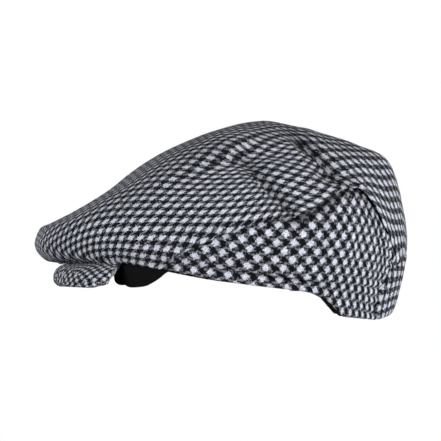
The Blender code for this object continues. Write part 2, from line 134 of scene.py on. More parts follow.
# How the top panel's grid leans to follow its two folds: share of the way up, and turn
FOLD_LEAN = ((0.0, 9.0), (0.24, 4.0), (0.38, 0.8), (0.53, -4.2), (0.67, -10.5), (0.8, -9.0), (1.0, 0.0))
# How the top panel's cloth climbs towards the back: metres behind the middle, and degrees
RIDGE_SLOPE = (
    (-0.200, 50.0), (-0.168, 35.0), (-0.135, 28.0), (-0.090, 29.0), (-0.040, 31.0),
    (-0.012, 30.0), (0.004, 25.0), (0.045, 20.0), (0.062, -4.0), (0.082, -6.0),
    (0.130, -8.0),
)
# How full the top panel lies crosswise: height, and metres more to a metre ahead of its folds
TOP_FULLNESS = ((0.025, 0.15), (0.040, 0.30), (0.055, 0.85), (0.070, 1.40), (0.085, 1.80), (0.110, 2.30))
# Where that holds, and where the back of the panel lies full: metres behind the middle, and share
AHEAD = ((-0.012, 1.0), (0.004, 0.25), (0.030, 0.05), (0.060, 0.0))
BEHIND = ((0.050, 0.0), (0.075, 0.75), (0.150, 0.75))
# The same for a side panel, and the metres of cloth gathered into a metre
SIDE_SLOPE = ((-0.060, -5.0), (0.000, -3.0), (0.050, 6.0), (0.080, 2.0), (0.120, -4.0))
SIDE_FULLNESS = ((0.045, 1.0), (0.070, 1.35), (0.110, 1.9))

# Lower edge of the sweatband: turn, and height as a share of the height
BAND_EDGE = (
    (0.0, 0.189), (15.0, 0.187), (30.0, 0.168), (40.0, 0.120), (46.0, 0.055),
    (51.0, 0.040), (57.0, 0.052), (61.0, 0.088), (66.0, 0.150), (74.0, 0.150),
    (90.0, 0.126), (108.0, 0.108), (117.0, 0.090), (124.0, 0.052), (136.0, 0.012),
    (150.0, 0.044), (180.0, 0.054),
)
# Where the lining meets the crown's inner face: turn, and rise
LINING_LOW = ((0.0, 0.60), (50.0, 0.50), (90.0, 0.34), (180.0, 0.34))


class Side(Enum):
    """The side of the cap that a piece lies on, as the wearer has it."""

    LEFT = 1.0
    RIGHT = -1.0


class Grain(Enum):
    """How a piece is cut from the cloth, as the turn of its threads in degrees."""

    STRAIGHT = 0.0
    BIAS = 45.0


def eased(knots: tuple[float, ...], values: Numbers, x: Numbers) -> Numbers:
    """A smooth curve through knots that never overshoots them, flat at both ends.

    Args:
        knots: Where the values stand, rising.
        values: One value a knot, or a row of them for each x.
        x: Where the curve is read.

    Returns:
        The curve at each x.
    """
    at = np.asarray(knots, float)
    table = np.broadcast_to(np.asarray(values, float), x.shape + (len(at),))
    widths = np.diff(at)
    rates = np.diff(table, axis=-1) / widths
    before, after = rates[..., :-1], rates[..., 1:]
    near = 2.0 * widths[1:] + widths[:-1]
    far = widths[1:] + 2.0 * widths[:-1]
    with np.errstate(divide="ignore", invalid="ignore"):
        mean = (near + far) / (near / before + far / after)
    slopes = np.zeros(table.shape)
    slopes[..., 1:-1] = np.where(before * after > 0.0, mean, 0.0)
    x = np.clip(x, at[0], at[-1])
    k = np.clip(np.searchsorted(at, x, side="left") - 1, 0, len(widths) - 1)
    t = (x - at[k]) / widths[k]

    def pick(rows: Numbers, index: Numbers) -> Numbers:
        """The entry of each row at its index."""
        return np.take_along_axis(rows, index[..., None], axis=-1)[..., 0]

    rest = 1.0 - t
    return (
        pick(table, k) * (1.0 + 2.0 * t) * rest**2
        + pick(slopes, k) * widths[k] * t * rest**2
        + pick(table, k + 1) * t * t * (3.0 - 2.0 * t)
        - pick(slopes, k + 1) * widths[k] * t * t * rest
    )


def from_table(rows: tuple[tuple[float, float], ...], x: Numbers) -> Numbers:
    """The smooth value at x of a table whose rows are a knot and a value."""
    return eased(tuple(row[0] for row in rows), np.array([row[1] for row in rows]), x)


def smooth_step(x: Numbers) -> Numbers:
    """0 below 0, 1 above 1, and a soft passage between."""
    x = np.clip(x, 0.0, 1.0)
    return x * x * (3.0 - 2.0 * x)


def mixed(a: Numbers, b: Numbers, share: Numbers) -> Numbers:
    """The value that share of the way from a to b."""
    return a + (b - a) * share


def bell(x: Numbers) -> Numbers:
    """A bell curve of height 1 and of about unit half width."""
    return np.exp(-x * x)


def folded_turn(turn: Numbers) -> tuple[Numbers, Numbers]:
    """Turns brought to 0..180, with the sign of the side that each is on."""
    turn = (turn + 180.0) % 360.0 - 180.0
    return np.abs(turn), np.where(turn >= 0.0, 1.0, -1.0)


def crowded(share: Numbers, closeness: float) -> Numbers:
    """Shares of 0..1 drawn towards both ends, so that rows lie closer at a piece's edges."""
    return share - closeness * np.sin(2.0 * math.pi * share) / (2.0 * math.pi)


def ripple(points: Numbers, size: float, seed: float) -> Numbers:
    """Soft noise of about -1..1 over points, with bumps of about the given size in metres."""
    shift = Vector((seed, 2.0 * seed, -seed))
    return np.array([noise.noise(Vector(p) / size + shift) for p in points])


def rounded(x: Numbers, blunt: float) -> Numbers:
    """Height at x of a blunt arch, 1 in the middle and 0 from x = 1 on."""
    return (1.0 - np.minimum(np.abs(x), 1.0) ** blunt) ** (1.0 / blunt)


@dataclass(frozen=True)
class Ramp:
    """A soft passage from 0 to 1: where it starts, and how long it is."""

    start: float
    length: float

    def __call__(self, x: Numbers) -> Numbers:
        """How far x has come along the passage, 0..1."""
        return smooth_step((x - self.start) / self.length)


def linked(name: str, data: bpy.types.ID) -> bpy.types.Object:
    """Puts a new object into the scene.

    Args:
        name: The object's name.
        data: Its mesh, light or camera.

    Returns:
        The object, at the origin.
    """
    made = bpy.data.objects.new(name, data)
    bpy.context.scene.collection.objects.link(made)
    return made


def towards(azimuth: float, elevation: float) -> Vector:
    """The direction from the cap to something that stands at two angles in radians."""
    level = math.cos(elevation)
    return Vector((math.sin(azimuth) * level, -math.cos(azimuth) * level, math.sin(elevation)))


@dataclass(frozen=True)
class PeakForm:
    """Sizes of the peak and of the forehead edge that it is sewn to."""

    width: float = 0.140
    length: float = 0.045
    thickness: float = 0.0035
    root_height: float = 0.0290
    tip_height: float = 0.0150
    corner: float = 0.010
    slant: float = 0.006
    slant_power: float = 6.0
    blunt: float = 2.3
    arch_blunt: float = 3.0
    edge_power: float = 3.5
    setback: float = 0.0610
    bow: float = 0.0020
    gap: float = GAP
    cap_length: float = CAP_LENGTH

    def forehead(self, x: Numbers) -> Numbers:
        """Y of the forehead edge of the head opening."""
        return -0.5 * self.cap_length + self.setback + self.bow * (2.0 * x / self.width) ** 2

    def root(self, x: Numbers) -> Numbers:
        """Y of the peak's rear edge, leaning forwards at its ends."""
        lean = self.slant * np.minimum(np.abs(2.0 * x / self.width), 1.0) ** self.slant_power
        return self.forehead(x) - self.gap - lean

    def tip(self, x: Numbers) -> Numbers:
        """Y of the peak's front edge."""
        arc = rounded(2.0 * x / self.width, self.blunt)
        return self.forehead(np.zeros(1)) - self.corner - (self.length - self.corner) * arc

    def over(self, x: Numbers, y: Numbers) -> Numbers:
        """Height of the peak's upper face.

        Args:
            x: Place across the peak.
            y: Place along it.

        Returns:
            The height at each place.
        """
        root = float(self.forehead(np.zeros(1))[0])
        past_corner = (root - self.corner - y) / (self.length - self.corner)
        share = rounded(np.maximum(past_corner, 0.0), self.blunt)
        middle = mixed(self.root_height, self.tip_height, (root - y) / self.length)
        edge = self.tip_height * (1.0 - share * share) ** self.edge_power
        across = np.abs(2.0 * x / self.width) / np.maximum(share, SAME_POINT)
        return edge + (middle - edge) * rounded(across, self.arch_blunt)

    def seat(self, x: Numbers, y: Numbers) -> Numbers:
        """Height of what lies on the peak's upper face."""
        return self.over(x, y) + 2.0 * self.gap


@dataclass(frozen=True)
class CrownForm:
    """The crown's outer face before it is cut into panels and creased."""

    peak: PeakForm = PeakForm()
    length: float = CAP_LENGTH
    width: float = 0.198
    height: float = 0.1375
    side_blunt: float = 2.3
    back_blunt: float = 2.15
    nose_ends: float = 60.0
    seat_sections: int = 2
    seat_leaves: Ramp = Ramp(40.0, 9.0)
    near_drop: float = 0.0085
    far_lift: float = 0.0055
    rim_turn: float = 122.0
    rim_spread: float = 9.0
    rim_fade: float = 0.15

    def sections(self, rise: Numbers) -> dict[str, Numbers]:
        """The crown's sections at each rise, their columns by name.

        Args:
            rise: Rises, one a point.

        Returns:
            One array for each column's name.
        """
        rises = tuple(i / (len(SECTIONS) - 1) for i in range(len(SECTIONS)))
        return {
            name: eased(rises, np.array([row[i] for row in SECTIONS]), rise)
            for i, name in enumerate(SECTION_COLUMNS)
        }

    def plan(self, section: dict[str, Numbers], turn: Numbers) -> tuple[Numbers, Numbers]:
        """Where sections lie in plan.

        Args:
            section: Columns of the sections, one value a point.
            turn: Turns of 0..180, one a point.

        Returns:
            The x, from 0 up, and the y of each point.
        """
        c, s = np.cos(np.radians(turn)), np.sin(np.radians(turn))
        mid = WIDEST_AT * self.length
        half = section["half"] * self.width
        ahead = c >= 0.0
        nose = mixed(section["nose"], self.side_blunt, smooth_step(turn / self.nose_ends))
        nape = mixed(self.side_blunt, self.back_blunt, smooth_step((turn - 90.0) / self.nose_ends))
        blunt = np.where(ahead, nose, nape)
        reach = np.where(ahead, section["front"], section["back"]) * self.length - mid
        return half * np.abs(s) ** (2.0 / blunt), mid + reach * np.abs(c) ** (2.0 / blunt)

    def stations(self, section: dict[str, Numbers], turn: Numbers) -> Numbers:
        """Height of sections at each turn, before they are seated on the peak."""
        heights = np.stack([section[name] for name in HEIGHT_COLUMNS], axis=-1)
        return self.height * eased(STATION_TURNS, heights, turn)

    def seat_lift(self, turn: Numbers, rise: Numbers) -> Numbers:
        """What brings the crown's lower edge down on the peak, from temple to temple.

        Args:
            turn: Turns of 0..180, one a point.
            rise: Rises, one a point.

        Returns:
            Metres up, one a point.
        """
        reach = self.seat_sections / (len(SECTIONS) - 1)
        edge = self.sections(np.zeros(turn.shape))
        seat = self.peak.seat(*self.plan(edge, turn))
        near = np.maximum(1.0 - rise / reach, 0.0) ** 2
        return (seat - self.stations(edge, turn)) * (1.0 - self.seat_leaves(turn)) * near

    def rim_shift(self, turn: Numbers, side: Numbers, rise: Numbers) -> Numbers:
        """How the rim ahead of the lobes hangs: lower on the left side, higher on the right.

        Args:
            turn: Turns of 0..180, one a point.
            side: 1 on the left side and -1 on the right.
            rise: Rises, one a point.

        Returns:
            Metres up, one a point.
        """
        near = np.maximum(1.0 - rise / self.rim_fade, 0.0) ** 2
        shift = np.where(side > 0.0, -self.near_drop, self.far_lift)
        return shift * near * bell((turn - self.rim_turn) / self.rim_spread)

    def surface(self, turn: Numbers, rise: Numbers) -> Numbers:
        """Points of the outer face, one row a point.

        Args:
            turn: Turns, one a point.
            rise: Rises, one a point.

        Returns:
            X, y and z of each point.
        """
        turn, side = folded_turn(turn)
        rise = np.clip(rise, 0.0, 1.0)
        section = self.sections(rise)
        x, y = self.plan(section, turn)
        z = self.stations(section, turn) + self.seat_lift(turn, rise)
        z += self.rim_shift(turn, side, rise)
        return np.stack([side * x, y, z], axis=-1)

    def normals(self, turn: Numbers, rise: Numbers) -> Numbers:
        """Outward directions of the outer face, straight up at its top point.

        Args:
            turn: Turns, one a point.
            rise: Rises, one a point.

        Returns:
            A unit vector for each point.
        """
        near = np.clip(rise, STEP_RISE, 1.0 - STEP_RISE)
        across = self.surface(turn + STEP_TURN, near) - self.surface(turn - STEP_TURN, near)
        up = self.surface(turn, near + STEP_RISE) - self.surface(turn, near - STEP_RISE)
        out = np.cross(across, up)
        out /= np.linalg.norm(out, axis=1)[:, None]
        out[rise > 1.0 - STEP_RISE] = (0.0, 0.0, 1.0)
        return out

    def climb(self, turn: Numbers, rise: Numbers) -> Numbers:
        """Metres of cloth for a unit of rise, at each point.

        Args:
            turn: Turns, one a point.
            rise: Rises, one a point.

        Returns:
            Metres, one a point.
        """
        near = np.clip(rise, STEP_RISE, 1.0 - STEP_RISE)
        up = self.surface(turn, near + STEP_RISE) - self.surface(turn, near - STEP_RISE)
        return np.linalg.norm(up, axis=1) / (2.0 * STEP_RISE)

    def edge_reach(self, turn: Numbers, rise: Numbers, steps: int = 12) -> Numbers:
        """Metres of cloth between the crown's lower edge and each point."""
        line = [self.surface(turn, rise * i / steps) for i in range(steps + 1)]
        return sum(np.linalg.norm(b - a, axis=1) for a, b in zip(line, line[1:]))


@dataclass
class Cutting:
    """Where the crown's seams run."""

    form: CrownForm
    start: float = 63.75
    corner: float = 153.75
    halvings: int = 30
    highest: float = 0.9
    table_step: float = 0.25
    bend_fade: int = 3
    top_points: int = 900
    back_points: int = 300
    _turns: Numbers = field(init=False)
    _rises: Numbers = field(init=False)

    def __post_init__(self) -> None:
        """Finds the rise of the top panel's seam at close turns."""
        self._turns = np.arange(self.start, 180.0 + self.table_step, self.table_step)
        heights = self.form.height * from_table(SEAM, self._turns)
        low = np.zeros(self._turns.shape)
        high = np.full(self._turns.shape, self.highest)
        for _ in range(self.halvings):
            middle = 0.5 * (low + high)
            below = self.form.surface(self._turns, middle)[:, 2] < heights
            low, high = np.where(below, middle, low), np.where(below, high, middle)
        self._rises = 0.5 * (low + high)

    def seam_rise(self, turn: Numbers) -> Numbers:
        """Rise of the top panel's seam at turns of 0..180, 0 ahead of its start."""
        return np.where(turn < self.start, 0.0, np.interp(turn, self._turns, self._rises))

    def top_line(self) -> Numbers:
        """Points along the top panel's seam on the left side."""
        turns = np.linspace(self.start, 180.0, self.top_points)
        return self.form.surface(turns, self.seam_rise(turns))

    def back_line(self) -> Numbers:
        """Points along the left back seam.

        Returns:
            The points, from the rim up to the top panel's seam.
        """
        heights = np.linspace(0.0, 1.0, self.back_points)
        turns = from_table(BACK_SEAM, heights)
        top = self.seam_rise(np.full(heights.shape, self.corner))
        return self.form.surface(turns, heights * top)

    def bulge(self, height: Numbers) -> Numbers:
        """How far the back seam bends off a straight line, in degrees of turn."""
        straight = mixed(BACK_SEAM[0][1], BACK_SEAM[-1][1], height)
        return from_table(BACK_SEAM, height) - straight


def distances(points: Numbers, line: Numbers) -> Numbers:
    """Distance of each point, or of its mirror image on the left, from a line of close points.

    Args:
        points: The points.
        line: The close points of the line.

    Returns:
        Metres, one a point.
    """
    tree = kdtree.KDTree(len(line))
    for i, spot in enumerate(line):
        tree.insert(spot, i)
    tree.balance()
    return np.array([tree.find((abs(p[0]), p[1], p[2]))[2] for p in points])


def rolled(away: Numbers, radius: float) -> Numbers:
    """How far a folded edge has dropped at a distance from it, as a quarter of a circle."""
    inside = np.clip(1.0 - away / radius, 0.0, 1.0)
    return radius * (1.0 - np.sqrt(1.0 - inside * inside))


@dataclass
class Graph:
    """Adds nodes to a node tree and joins them up."""

    tree: bpy.types.NodeTree

    def fill(self, node: bpy.types.Node, inputs: dict[str | int, object]) -> None:
        """Joins a node's inputs to sockets, or gives them plain values.

        Args:
            node: The node.
            inputs: A socket or a value for each input's name or number.
        """
        for name, value in inputs.items():
            if isinstance(value, Socket):
                self.tree.links.new(value, node.inputs[name])
            else:
                node.inputs[name].default_value = value

    def node(
        self, kind: str, inputs: dict[str | int, object] | None = None, **settings: object
    ) -> bpy.types.Node:
        """Adds a node.

        Args:
            kind: The node's type.
            inputs: A socket or a value for each input's name or number.
            settings: Values of the node's own properties.

        Returns:
            The node.
        """
        made = self.tree.nodes.new(kind)
        for name, value in settings.items():
            setattr(made, name, value)
        self.fill(made, inputs or {})
        return made

    def math(self, operation: str, *values: object) -> Socket:
        """The result of a math node on values or sockets."""
        return self.node("ShaderNodeMath", dict(enumerate(values)), operation=operation).outputs[0]

    def times(self, value: object, by: object, plus: object) -> Socket:
        """A value times another, and one more added."""
        return self.math("MULTIPLY_ADD", value, by, plus)

    def scaled(self, vector: object, by: object) -> Socket:
        """A vector or colour times a number."""
        return self.node("ShaderNodeVectorMath", {0: vector, "Scale": by}, operation="SCALE").outputs[0]

    def blend(self, share: object, low: object, high: object) -> Socket:
        """A colour that share of the way from low to high."""
        inputs = {"Factor": share, "A": low, "B": high}
        return self.node("ShaderNodeMix", inputs, data_type="RGBA").outputs["Result"]

    def noise(self, vector: object, scale: object, detail: float = 2.0) -> bpy.types.Node:
        """A noise texture over a vector."""
        return self.node("ShaderNodeTexNoise", {"Vector": vector, "Scale": scale, "Detail": detail})


def group_socket(
    tree: bpy.types.NodeTree, name: str, side: str, kind: str, value: object = None
) -> None:
    """Adds a named input or output to a node group.

    Args:
        tree: The node group.
        name: The socket's name.
        side: INPUT or OUTPUT.
        kind: The socket's type.
        value: What an input is when nothing feeds it.
    """
    made = tree.interface.new_socket(name=name, in_out=side, socket_type=kind)
    if value is not None:
        made.default_value = value


def thread_wobble_group() -> bpy.types.NodeTree:
    """Builds the group that draws a place on cloth a little out of true, as spun threads lie.

    Returns:
        The group.
    """
    tree = bpy.data.node_groups.new("thread_wobble", "ShaderNodeTree")
    group_socket(tree, "Place", "INPUT", "NodeSocketVector")
    group_socket(tree, "Amount", "INPUT", "NodeSocketFloat", 0.0002)
    group_socket(tree, "Fineness", "INPUT", "NodeSocketFloat", 1200.0)
    group_socket(tree, "Place", "OUTPUT", "NodeSocketVector")
    graph = Graph(tree)
    given = graph.node("NodeGroupInput").outputs
    cloud = graph.noise(given["Place"], given["Fineness"]).outputs["Color"]
    middle = (0.5, 0.5, 0.5)
    centred = graph.node("ShaderNodeVectorMath", {0: cloud, 1: middle}, operation="SUBTRACT")
    shift = graph.scaled(centred.outputs[0], given["Amount"])
    moved = graph.node("ShaderNodeVectorMath", {0: given["Place"], 1: shift}, operation="ADD")
    graph.node("NodeGroupOutput", {"Place": moved.outputs[0]})
    return tree


def twill_group() -> bpy.types.NodeTree:
    """Builds the group for a two-and-two twill with warp and weft in checks of light and dark.

    Its Light output is 1 on light threads, Solid is 1 where warp and weft are both light, Height is
    the relief of the threads, Edge is 1 in the middle of a thread and 0 between threads, and Tone is
    a number of its own for each thread.

    Returns:
        The group.
    """
    tree = bpy.data.node_groups.new("checked_twill", "ShaderNodeTree")
    group_socket(tree, "Place", "INPUT", "NodeSocketVector")
    group_socket(tree, "Thread", "INPUT", "NodeSocketFloat", 0.0011)
    group_socket(tree, "Run", "INPUT", "NodeSocketFloat", 4.0)
    for name in ("Light", "Solid", "Height", "Edge", "Tone"):
        group_socket(tree, name, "OUTPUT", "NodeSocketFloat")
    graph = Graph(tree)
    given = graph.node("NodeGroupInput").outputs
    place = graph.node("ShaderNodeSeparateXYZ", {0: given["Place"]}).outputs
    x, y = (graph.math("DIVIDE", place[axis], given["Thread"]) for axis in ("X", "Y"))
    i, j = graph.math("FLOOR", x), graph.math("FLOOR", y)
    cycle = 4.0

    def stage(number: Socket, other: Socket) -> Socket:
        """How far the twill has come along its cycle of threads, two over and two under."""
        return graph.math("FLOORED_MODULO", graph.math("ADD", number, other), cycle)

    def chosen(on_warp: Socket, on_weft: Socket) -> Socket:
        """The warp's value where the warp is over, and the weft's elsewhere."""
        return graph.times(warp_over, graph.math("SUBTRACT", on_warp, on_weft), on_weft)

    def dome(value: Socket) -> Socket:
        """A hump from 0 at -1 to 1 at 0 and back to 0 at 1."""
        return graph.math("SUBTRACT", 1.0, graph.math("MULTIPLY", value, value))

    def across(value: Socket) -> Socket:
        """-1..1 over the width of a thread."""
        return graph.times(graph.math("FRACT", value), 2.0, -1.0)

    warp_over = graph.math("LESS_THAN", stage(i, j), 0.5 * cycle - 0.5)
    both = graph.math("MULTIPLY", given["Run"], 2.0)
    last = graph.math("SUBTRACT", given["Run"], 0.5)
    warp_light, weft_light = (
        graph.math("LESS_THAN", graph.math("FLOORED_MODULO", number, both), last) for number in (i, j)
    )
    edge = chosen(dome(across(x)), dome(across(y)))
    crimp = chosen(
        dome(graph.math("SUBTRACT", stage(i, y), 0.25 * cycle)),
        dome(graph.math("SUBTRACT", stage(j, x), 0.75 * cycle)),
    )
    thread = chosen(i, graph.math("ADD", j, 0.5))
    tone = graph.node("ShaderNodeTexWhiteNoise", {"W": thread}, noise_dimensions="1D")
    results = {
        "Light": chosen(warp_light, weft_light),
        "Solid": graph.math("MULTIPLY", warp_light, weft_light),
        "Height": graph.math("MULTIPLY", edge, graph.times(crimp, 0.5, 0.5)),
        "Edge": edge,
        "Tone": tone.outputs["Value"],
    }
    graph.node("NodeGroupOutput", results)
    return tree


def blank_finish(name: str) -> tuple[bpy.types.Material, Graph, bpy.types.Node]:
    """Starts a material.

    Args:
        name: Its name.

    Returns:
        The material, its graph and its shader.
    """
    made = bpy.data.materials.new(name)
    made.use_nodes = True
    return made, Graph(made.node_tree), made.node_tree.nodes["Principled BSDF"]


@dataclass(frozen=True)
class Cloth:
    """What the finishes of cloth share: threads a little out of true, and their weave."""

    wobble: bpy.types.NodeTree
    twill: bpy.types.NodeTree
    thread: float
    run: float = 4.0

    def laid(self, graph: Graph, grain: Grain) -> Socket:
        """Places on the flat cut in metres, turned as the piece is cut.

        Args:
            graph: The material's graph.
            grain: How the piece is cut.

        Returns:
            The places, as a vector.
        """
        flat = graph.node("ShaderNodeUVMap", uv_map="cloth").outputs["UV"]
        turn = (0.0, 0.0, math.radians(grain.value))
        return graph.node("ShaderNodeMapping", {"Vector": flat, "Rotation": turn}).outputs["Vector"]

    def drawn(self, graph: Graph, place: Socket, amount: float, fineness: float) -> Socket:
        """Places drawn out of true by an amount in threads, with a number of waves to a thread."""
        inputs = {"Place": place, "Amount": amount * self.thread, "Fineness": fineness / self.thread}
        return graph.node("ShaderNodeGroup", inputs, node_tree=self.wobble).outputs["Place"]

    def woven(self, graph: Graph, place: Socket) -> bpy.types.Node:
        """The weave at places on the cloth."""
        inputs = {"Place": place, "Thread": self.thread, "Run": self.run}
        return graph.node("ShaderNodeGroup", inputs, node_tree=self.twill)

    def speckled(self, graph: Graph, place: Socket, fineness: float, detail: float) -> Socket:
        """Soft noise of 0..1 with a number of waves to a thread."""
        return graph.noise(place, fineness / self.thread, detail).outputs["Fac"]


@dataclass(frozen=True)
class CheckedWool(Cloth):
    """Brushed wool in a small houndstooth of four light and four dark threads.

    The amounts are in threads, and the fineness of a noise is its number of waves to a thread.
    """

    thread: float = 0.00108
    light: tuple[float, float, float] = (0.76, 0.785, 0.89)
    dark: tuple[float, float, float] = (0.0030, 0.0033, 0.0060)
    wobble_amount: float = 0.7
    wobble_fineness: float = 0.55
    fray_amount: float = 4.5
    fray_fineness: float = 1.0
    fibre_fineness: float = 1.6
    felt_fineness: float = 0.35
    mixed_light: float = 0.31
    ground_light: float = -1.02
    edge_light: float = 0.45
    tone_light: float = 0.20
    fibre_light: float = 2.7
    least_light: float = 0.05
    stray_from: float = 0.60
    stray_light: float = 0.50
    worn_light: float = 0.80
    felt_light: float = 0.36
    shade_depth: float = 0.85
    roughness: float = 1.0
    fibre_gloss: float = 0.12
    specular: float = 0.06
    sheen: float = 0.02
    sheen_roughness: float = 0.5
    fibre_height: float = 0.5
    felt_height: float = 0.8
    bump: float = 0.8
    bump_height: float = 0.35

    def material(self, name: str, grain: Grain) -> bpy.types.Material:
        """The finish for one piece.

        Args:
            name: The material's name.
            grain: How the piece is cut.

        Returns:
            The material.
        """
        made, graph, shader = blank_finish(name)
        place = self.laid(graph, grain)
        drawn = self.drawn(graph, place, self.wobble_amount, self.wobble_fineness)
        frayed = self.drawn(graph, drawn, self.fray_amount, self.fray_fineness)
        checks = self.woven(graph, frayed).outputs
        fibre = self.speckled(graph, place, self.fibre_fineness, 3.0)
        felt = self.speckled(graph, place, self.felt_fineness, 2.0)

        # Partly painted shade: the light threads are lighter in their middles and darker at their edges;
        # the thread tone and the fibre speckle are the wool's own colour.
        bright = graph.times(checks["Edge"], self.edge_light, self.ground_light)
        bright = graph.times(checks["Tone"], self.tone_light, bright)
        bright = graph.math("MAXIMUM", graph.times(fibre, self.fibre_light, bright), self.least_light)
        full = graph.times(checks["Solid"], 1.0 - self.mixed_light, self.mixed_light)
        light = graph.blend(graph.math("MULTIPLY", bright, full), BLACK, (*self.light, 1.0))
        stray = graph.math("MULTIPLY", graph.math("SUBTRACT", fibre, self.stray_from), self.stray_light)
        stray = graph.math("MAXIMUM", stray, 0.0)
        dark = graph.blend(stray, (*self.dark, 1.0), (*self.light, 1.0))
        # Painted shade: the shade attribute darkens the wool's colour in fold valleys, under the seams
        # and along the hem; the felt noise is the wool's own uneven tone.
        shade = graph.node("ShaderNodeAttribute", attribute_name="shade").outputs["Fac"]
        felt_and_painted_shade = graph.times(felt, self.felt_light, self.worn_light)
        felt_and_painted_shade = graph.math("MULTIPLY", felt_and_painted_shade, graph.times(shade, -self.shade_depth, 1.0))
        relief = graph.times(fibre, self.fibre_height, checks["Height"])
        bump = {
            "Strength": self.bump,
            "Distance": self.bump_height * self.thread,
            "Height": graph.times(felt, self.felt_height, relief),
        }
        finish = {
            "Base Color": graph.scaled(graph.blend(checks["Light"], dark, light), felt_and_painted_shade),
            "Roughness": graph.times(fibre, -self.fibre_gloss, self.roughness),
            "Sheen Weight": self.sheen,
            "Sheen Roughness": self.sheen_roughness,
            "Specular IOR Level": self.specular,
            "Normal": graph.node("ShaderNodeBump", bump).outputs["Normal"],
        }
        graph.fill(shader, finish)
        return made


@dataclass(frozen=True)
class BlackCloth(Cloth):
    """Plain black cloth in a twill weave, dull for the band and smoother for the lining.

    The amounts are in threads, and the fineness of a noise is its number of waves to a thread.
    """

    colour: tuple[float, float, float] = BLACK[:3]
    roughness: float = 1.0
    relief: float = 0.5
    wobble_amount: float = 0.3
    wobble_fineness: float = 0.7
    dust_fineness: float = 0.12
    ground_light: float = 0.5
    height_light: float = 0.7
    dust_light: float = 0.6
    thread_gloss: float = 0.12
    specular: float = 0.08
    bump_height: float = 0.4

    def material(self, name: str, grain: Grain) -> bpy.types.Material:
        """The finish for one piece.

        Args:
            name: The material's name.
            grain: How the piece is cut.

        Returns:
            The material.
        """
        made, graph, shader = blank_finish(name)
        place = self.laid(graph, grain)
        drawn = self.drawn(graph, place, self.wobble_amount, self.wobble_fineness)
        weave = self.woven(graph, drawn).outputs
        dust = self.speckled(graph, place, self.dust_fineness, 3.0)
        # Partly painted shade: the colour is lighter on the threads' crowns and darker in the weave's
        # hollows; the dust noise is the cloth's own uneven tone.
        tone = graph.times(weave["Height"], self.height_light, self.ground_light)
        tone = graph.times(dust, self.dust_light, tone)
        bump = {
            "Strength": self.relief,
            "Distance": self.bump_height * self.thread,
            "Height": weave["Height"],
        }
        finish = {
            "Base Color": graph.scaled(self.colour, tone),
            "Roughness": graph.times(weave["Edge"], -self.thread_gloss, self.roughness),
            "Specular IOR Level": self.specular,
            "Normal": graph.node("ShaderNodeBump", bump).outputs["Normal"],
        }
        graph.fill(shader, finish)
        return made


def grid_shares(bm: bmesh.types.BMesh) -> tuple[Numbers, Numbers]:
    """Shares of the width and of the height at the points of a flat grid of unit size."""
    flat = np.array([vert.co for vert in bm.verts]) + 0.5
    return flat[:, 0], flat[:, 1]


def bent_grid(
    columns: int, rows: int, place: Place, cuts: tuple[tuple[float, float], ...] = ()
) -> bmesh.types.BMesh:
    """A grid of quads bent to shape, with its faces turned away from the heart of the head opening.

    Args:
        columns: How many quads wide.
        rows: How many quads high.
        place: Gives the points for shares of the width and the height.
        cuts: Where a fold takes cloth in, as a share of the width and how high it reaches.

    Returns:
        The bent grid, closed where its edges meet.
    """
    bm = bmesh.new()
    bmesh.ops.create_grid(bm, x_segments=columns, y_segments=rows, size=0.5)
    shares, heights = grid_shares(bm)
    near = 0.25 / columns
    for share, reach in cuts:
        column = round(share * columns) / columns - 0.5
        for edge in bm.edges:
            here = all(abs(vert.co.x - column) < near for vert in edge.verts)
            if here and max(vert.co.y for vert in edge.verts) < reach - 0.5:
                edge.seam = True
    for vert, point in zip(bm.verts, place(shares, heights)):
        vert.co = point
    bmesh.ops.remove_doubles(bm, verts=bm.verts, dist=SAME_POINT)
    bmesh.ops.recalc_face_normals(bm, faces=bm.faces)
    heart = Vector(HEART)
    outward = sum(f.normal.dot(f.calc_center_median() - heart) * f.calc_area() for f in bm.faces)
    if outward < 0.0:
        bmesh.ops.reverse_faces(bm, faces=bm.faces)
    return bm


def finished(
    name: str,
    bm: bmesh.types.BMesh,
    material: bpy.types.Material,
    shade: Callable[[Numbers], Numbers] | None = None,
) -> bpy.types.Object:
    """Makes the named object of a bmesh, shaded smooth.

    Args:
        name: The piece's name.
        bm: Its mesh, which is used up.
        material: Its finish.
        shade: Says how much painted shade darkens the cloth's colour at points, 0..1.

    Returns:
        The object, at the origin.
    """
    mesh = bpy.data.meshes.new(name)
    bm.to_mesh(mesh)
    bm.free()
    mesh.shade_smooth()
    mesh.materials.append(material)
    if shade is not None:
        points = np.zeros(3 * len(mesh.vertices))
        mesh.vertices.foreach_get("co", points)
        layer = mesh.attributes.new("shade", "FLOAT", "POINT")
        layer.data.foreach_set("value", shade(points.reshape(-1, 3)))
    return linked(name, mesh)


def settled(ends: Numbers, weight: Numbers, wanted: Numbers, steps: int = 1500) -> Numbers:
    """Values whose differences along edges come as near as they can to those wanted.

    Args:
        ends: The two point numbers of each edge.
        weight: How much each edge counts.
        wanted: The difference wanted from each edge's first point to its second.
        steps: The most rounds of conjugate gradients.

    Returns:
        The value of each point.
    """
    count = int(ends.max()) + 1

    def gathered(flow: Numbers) -> Numbers:
        """What flows along the edges into each point."""
        return np.bincount(ends[:, 1], flow, count) - np.bincount(ends[:, 0], flow, count)

    scale = np.bincount(ends.ravel(), np.repeat(weight, 2), count)
    values = np.zeros(count)
    left = gathered(weight * wanted)
    goal = SETTLED * np.linalg.norm(left)
    way = left / scale
    strength = left @ way
    for _ in range(steps):
        change = gathered(weight * (way[ends[:, 1]] - way[ends[:, 0]]))
        size = strength / (way @ change)
        values += size * way
        left -= size * change
        if np.linalg.norm(left) < goal:
            break
        push = left / scale
        fresh = left @ push
        way = push + fresh / strength * way
        strength = fresh
    return values


@dataclass(frozen=True)
class Lay:
    """How cloth lies at points: its lengthwise way, and metres of it taken up by a metre, both ways."""

    way: Numbers
    lengthwise: Numbers
    crosswise: Numbers


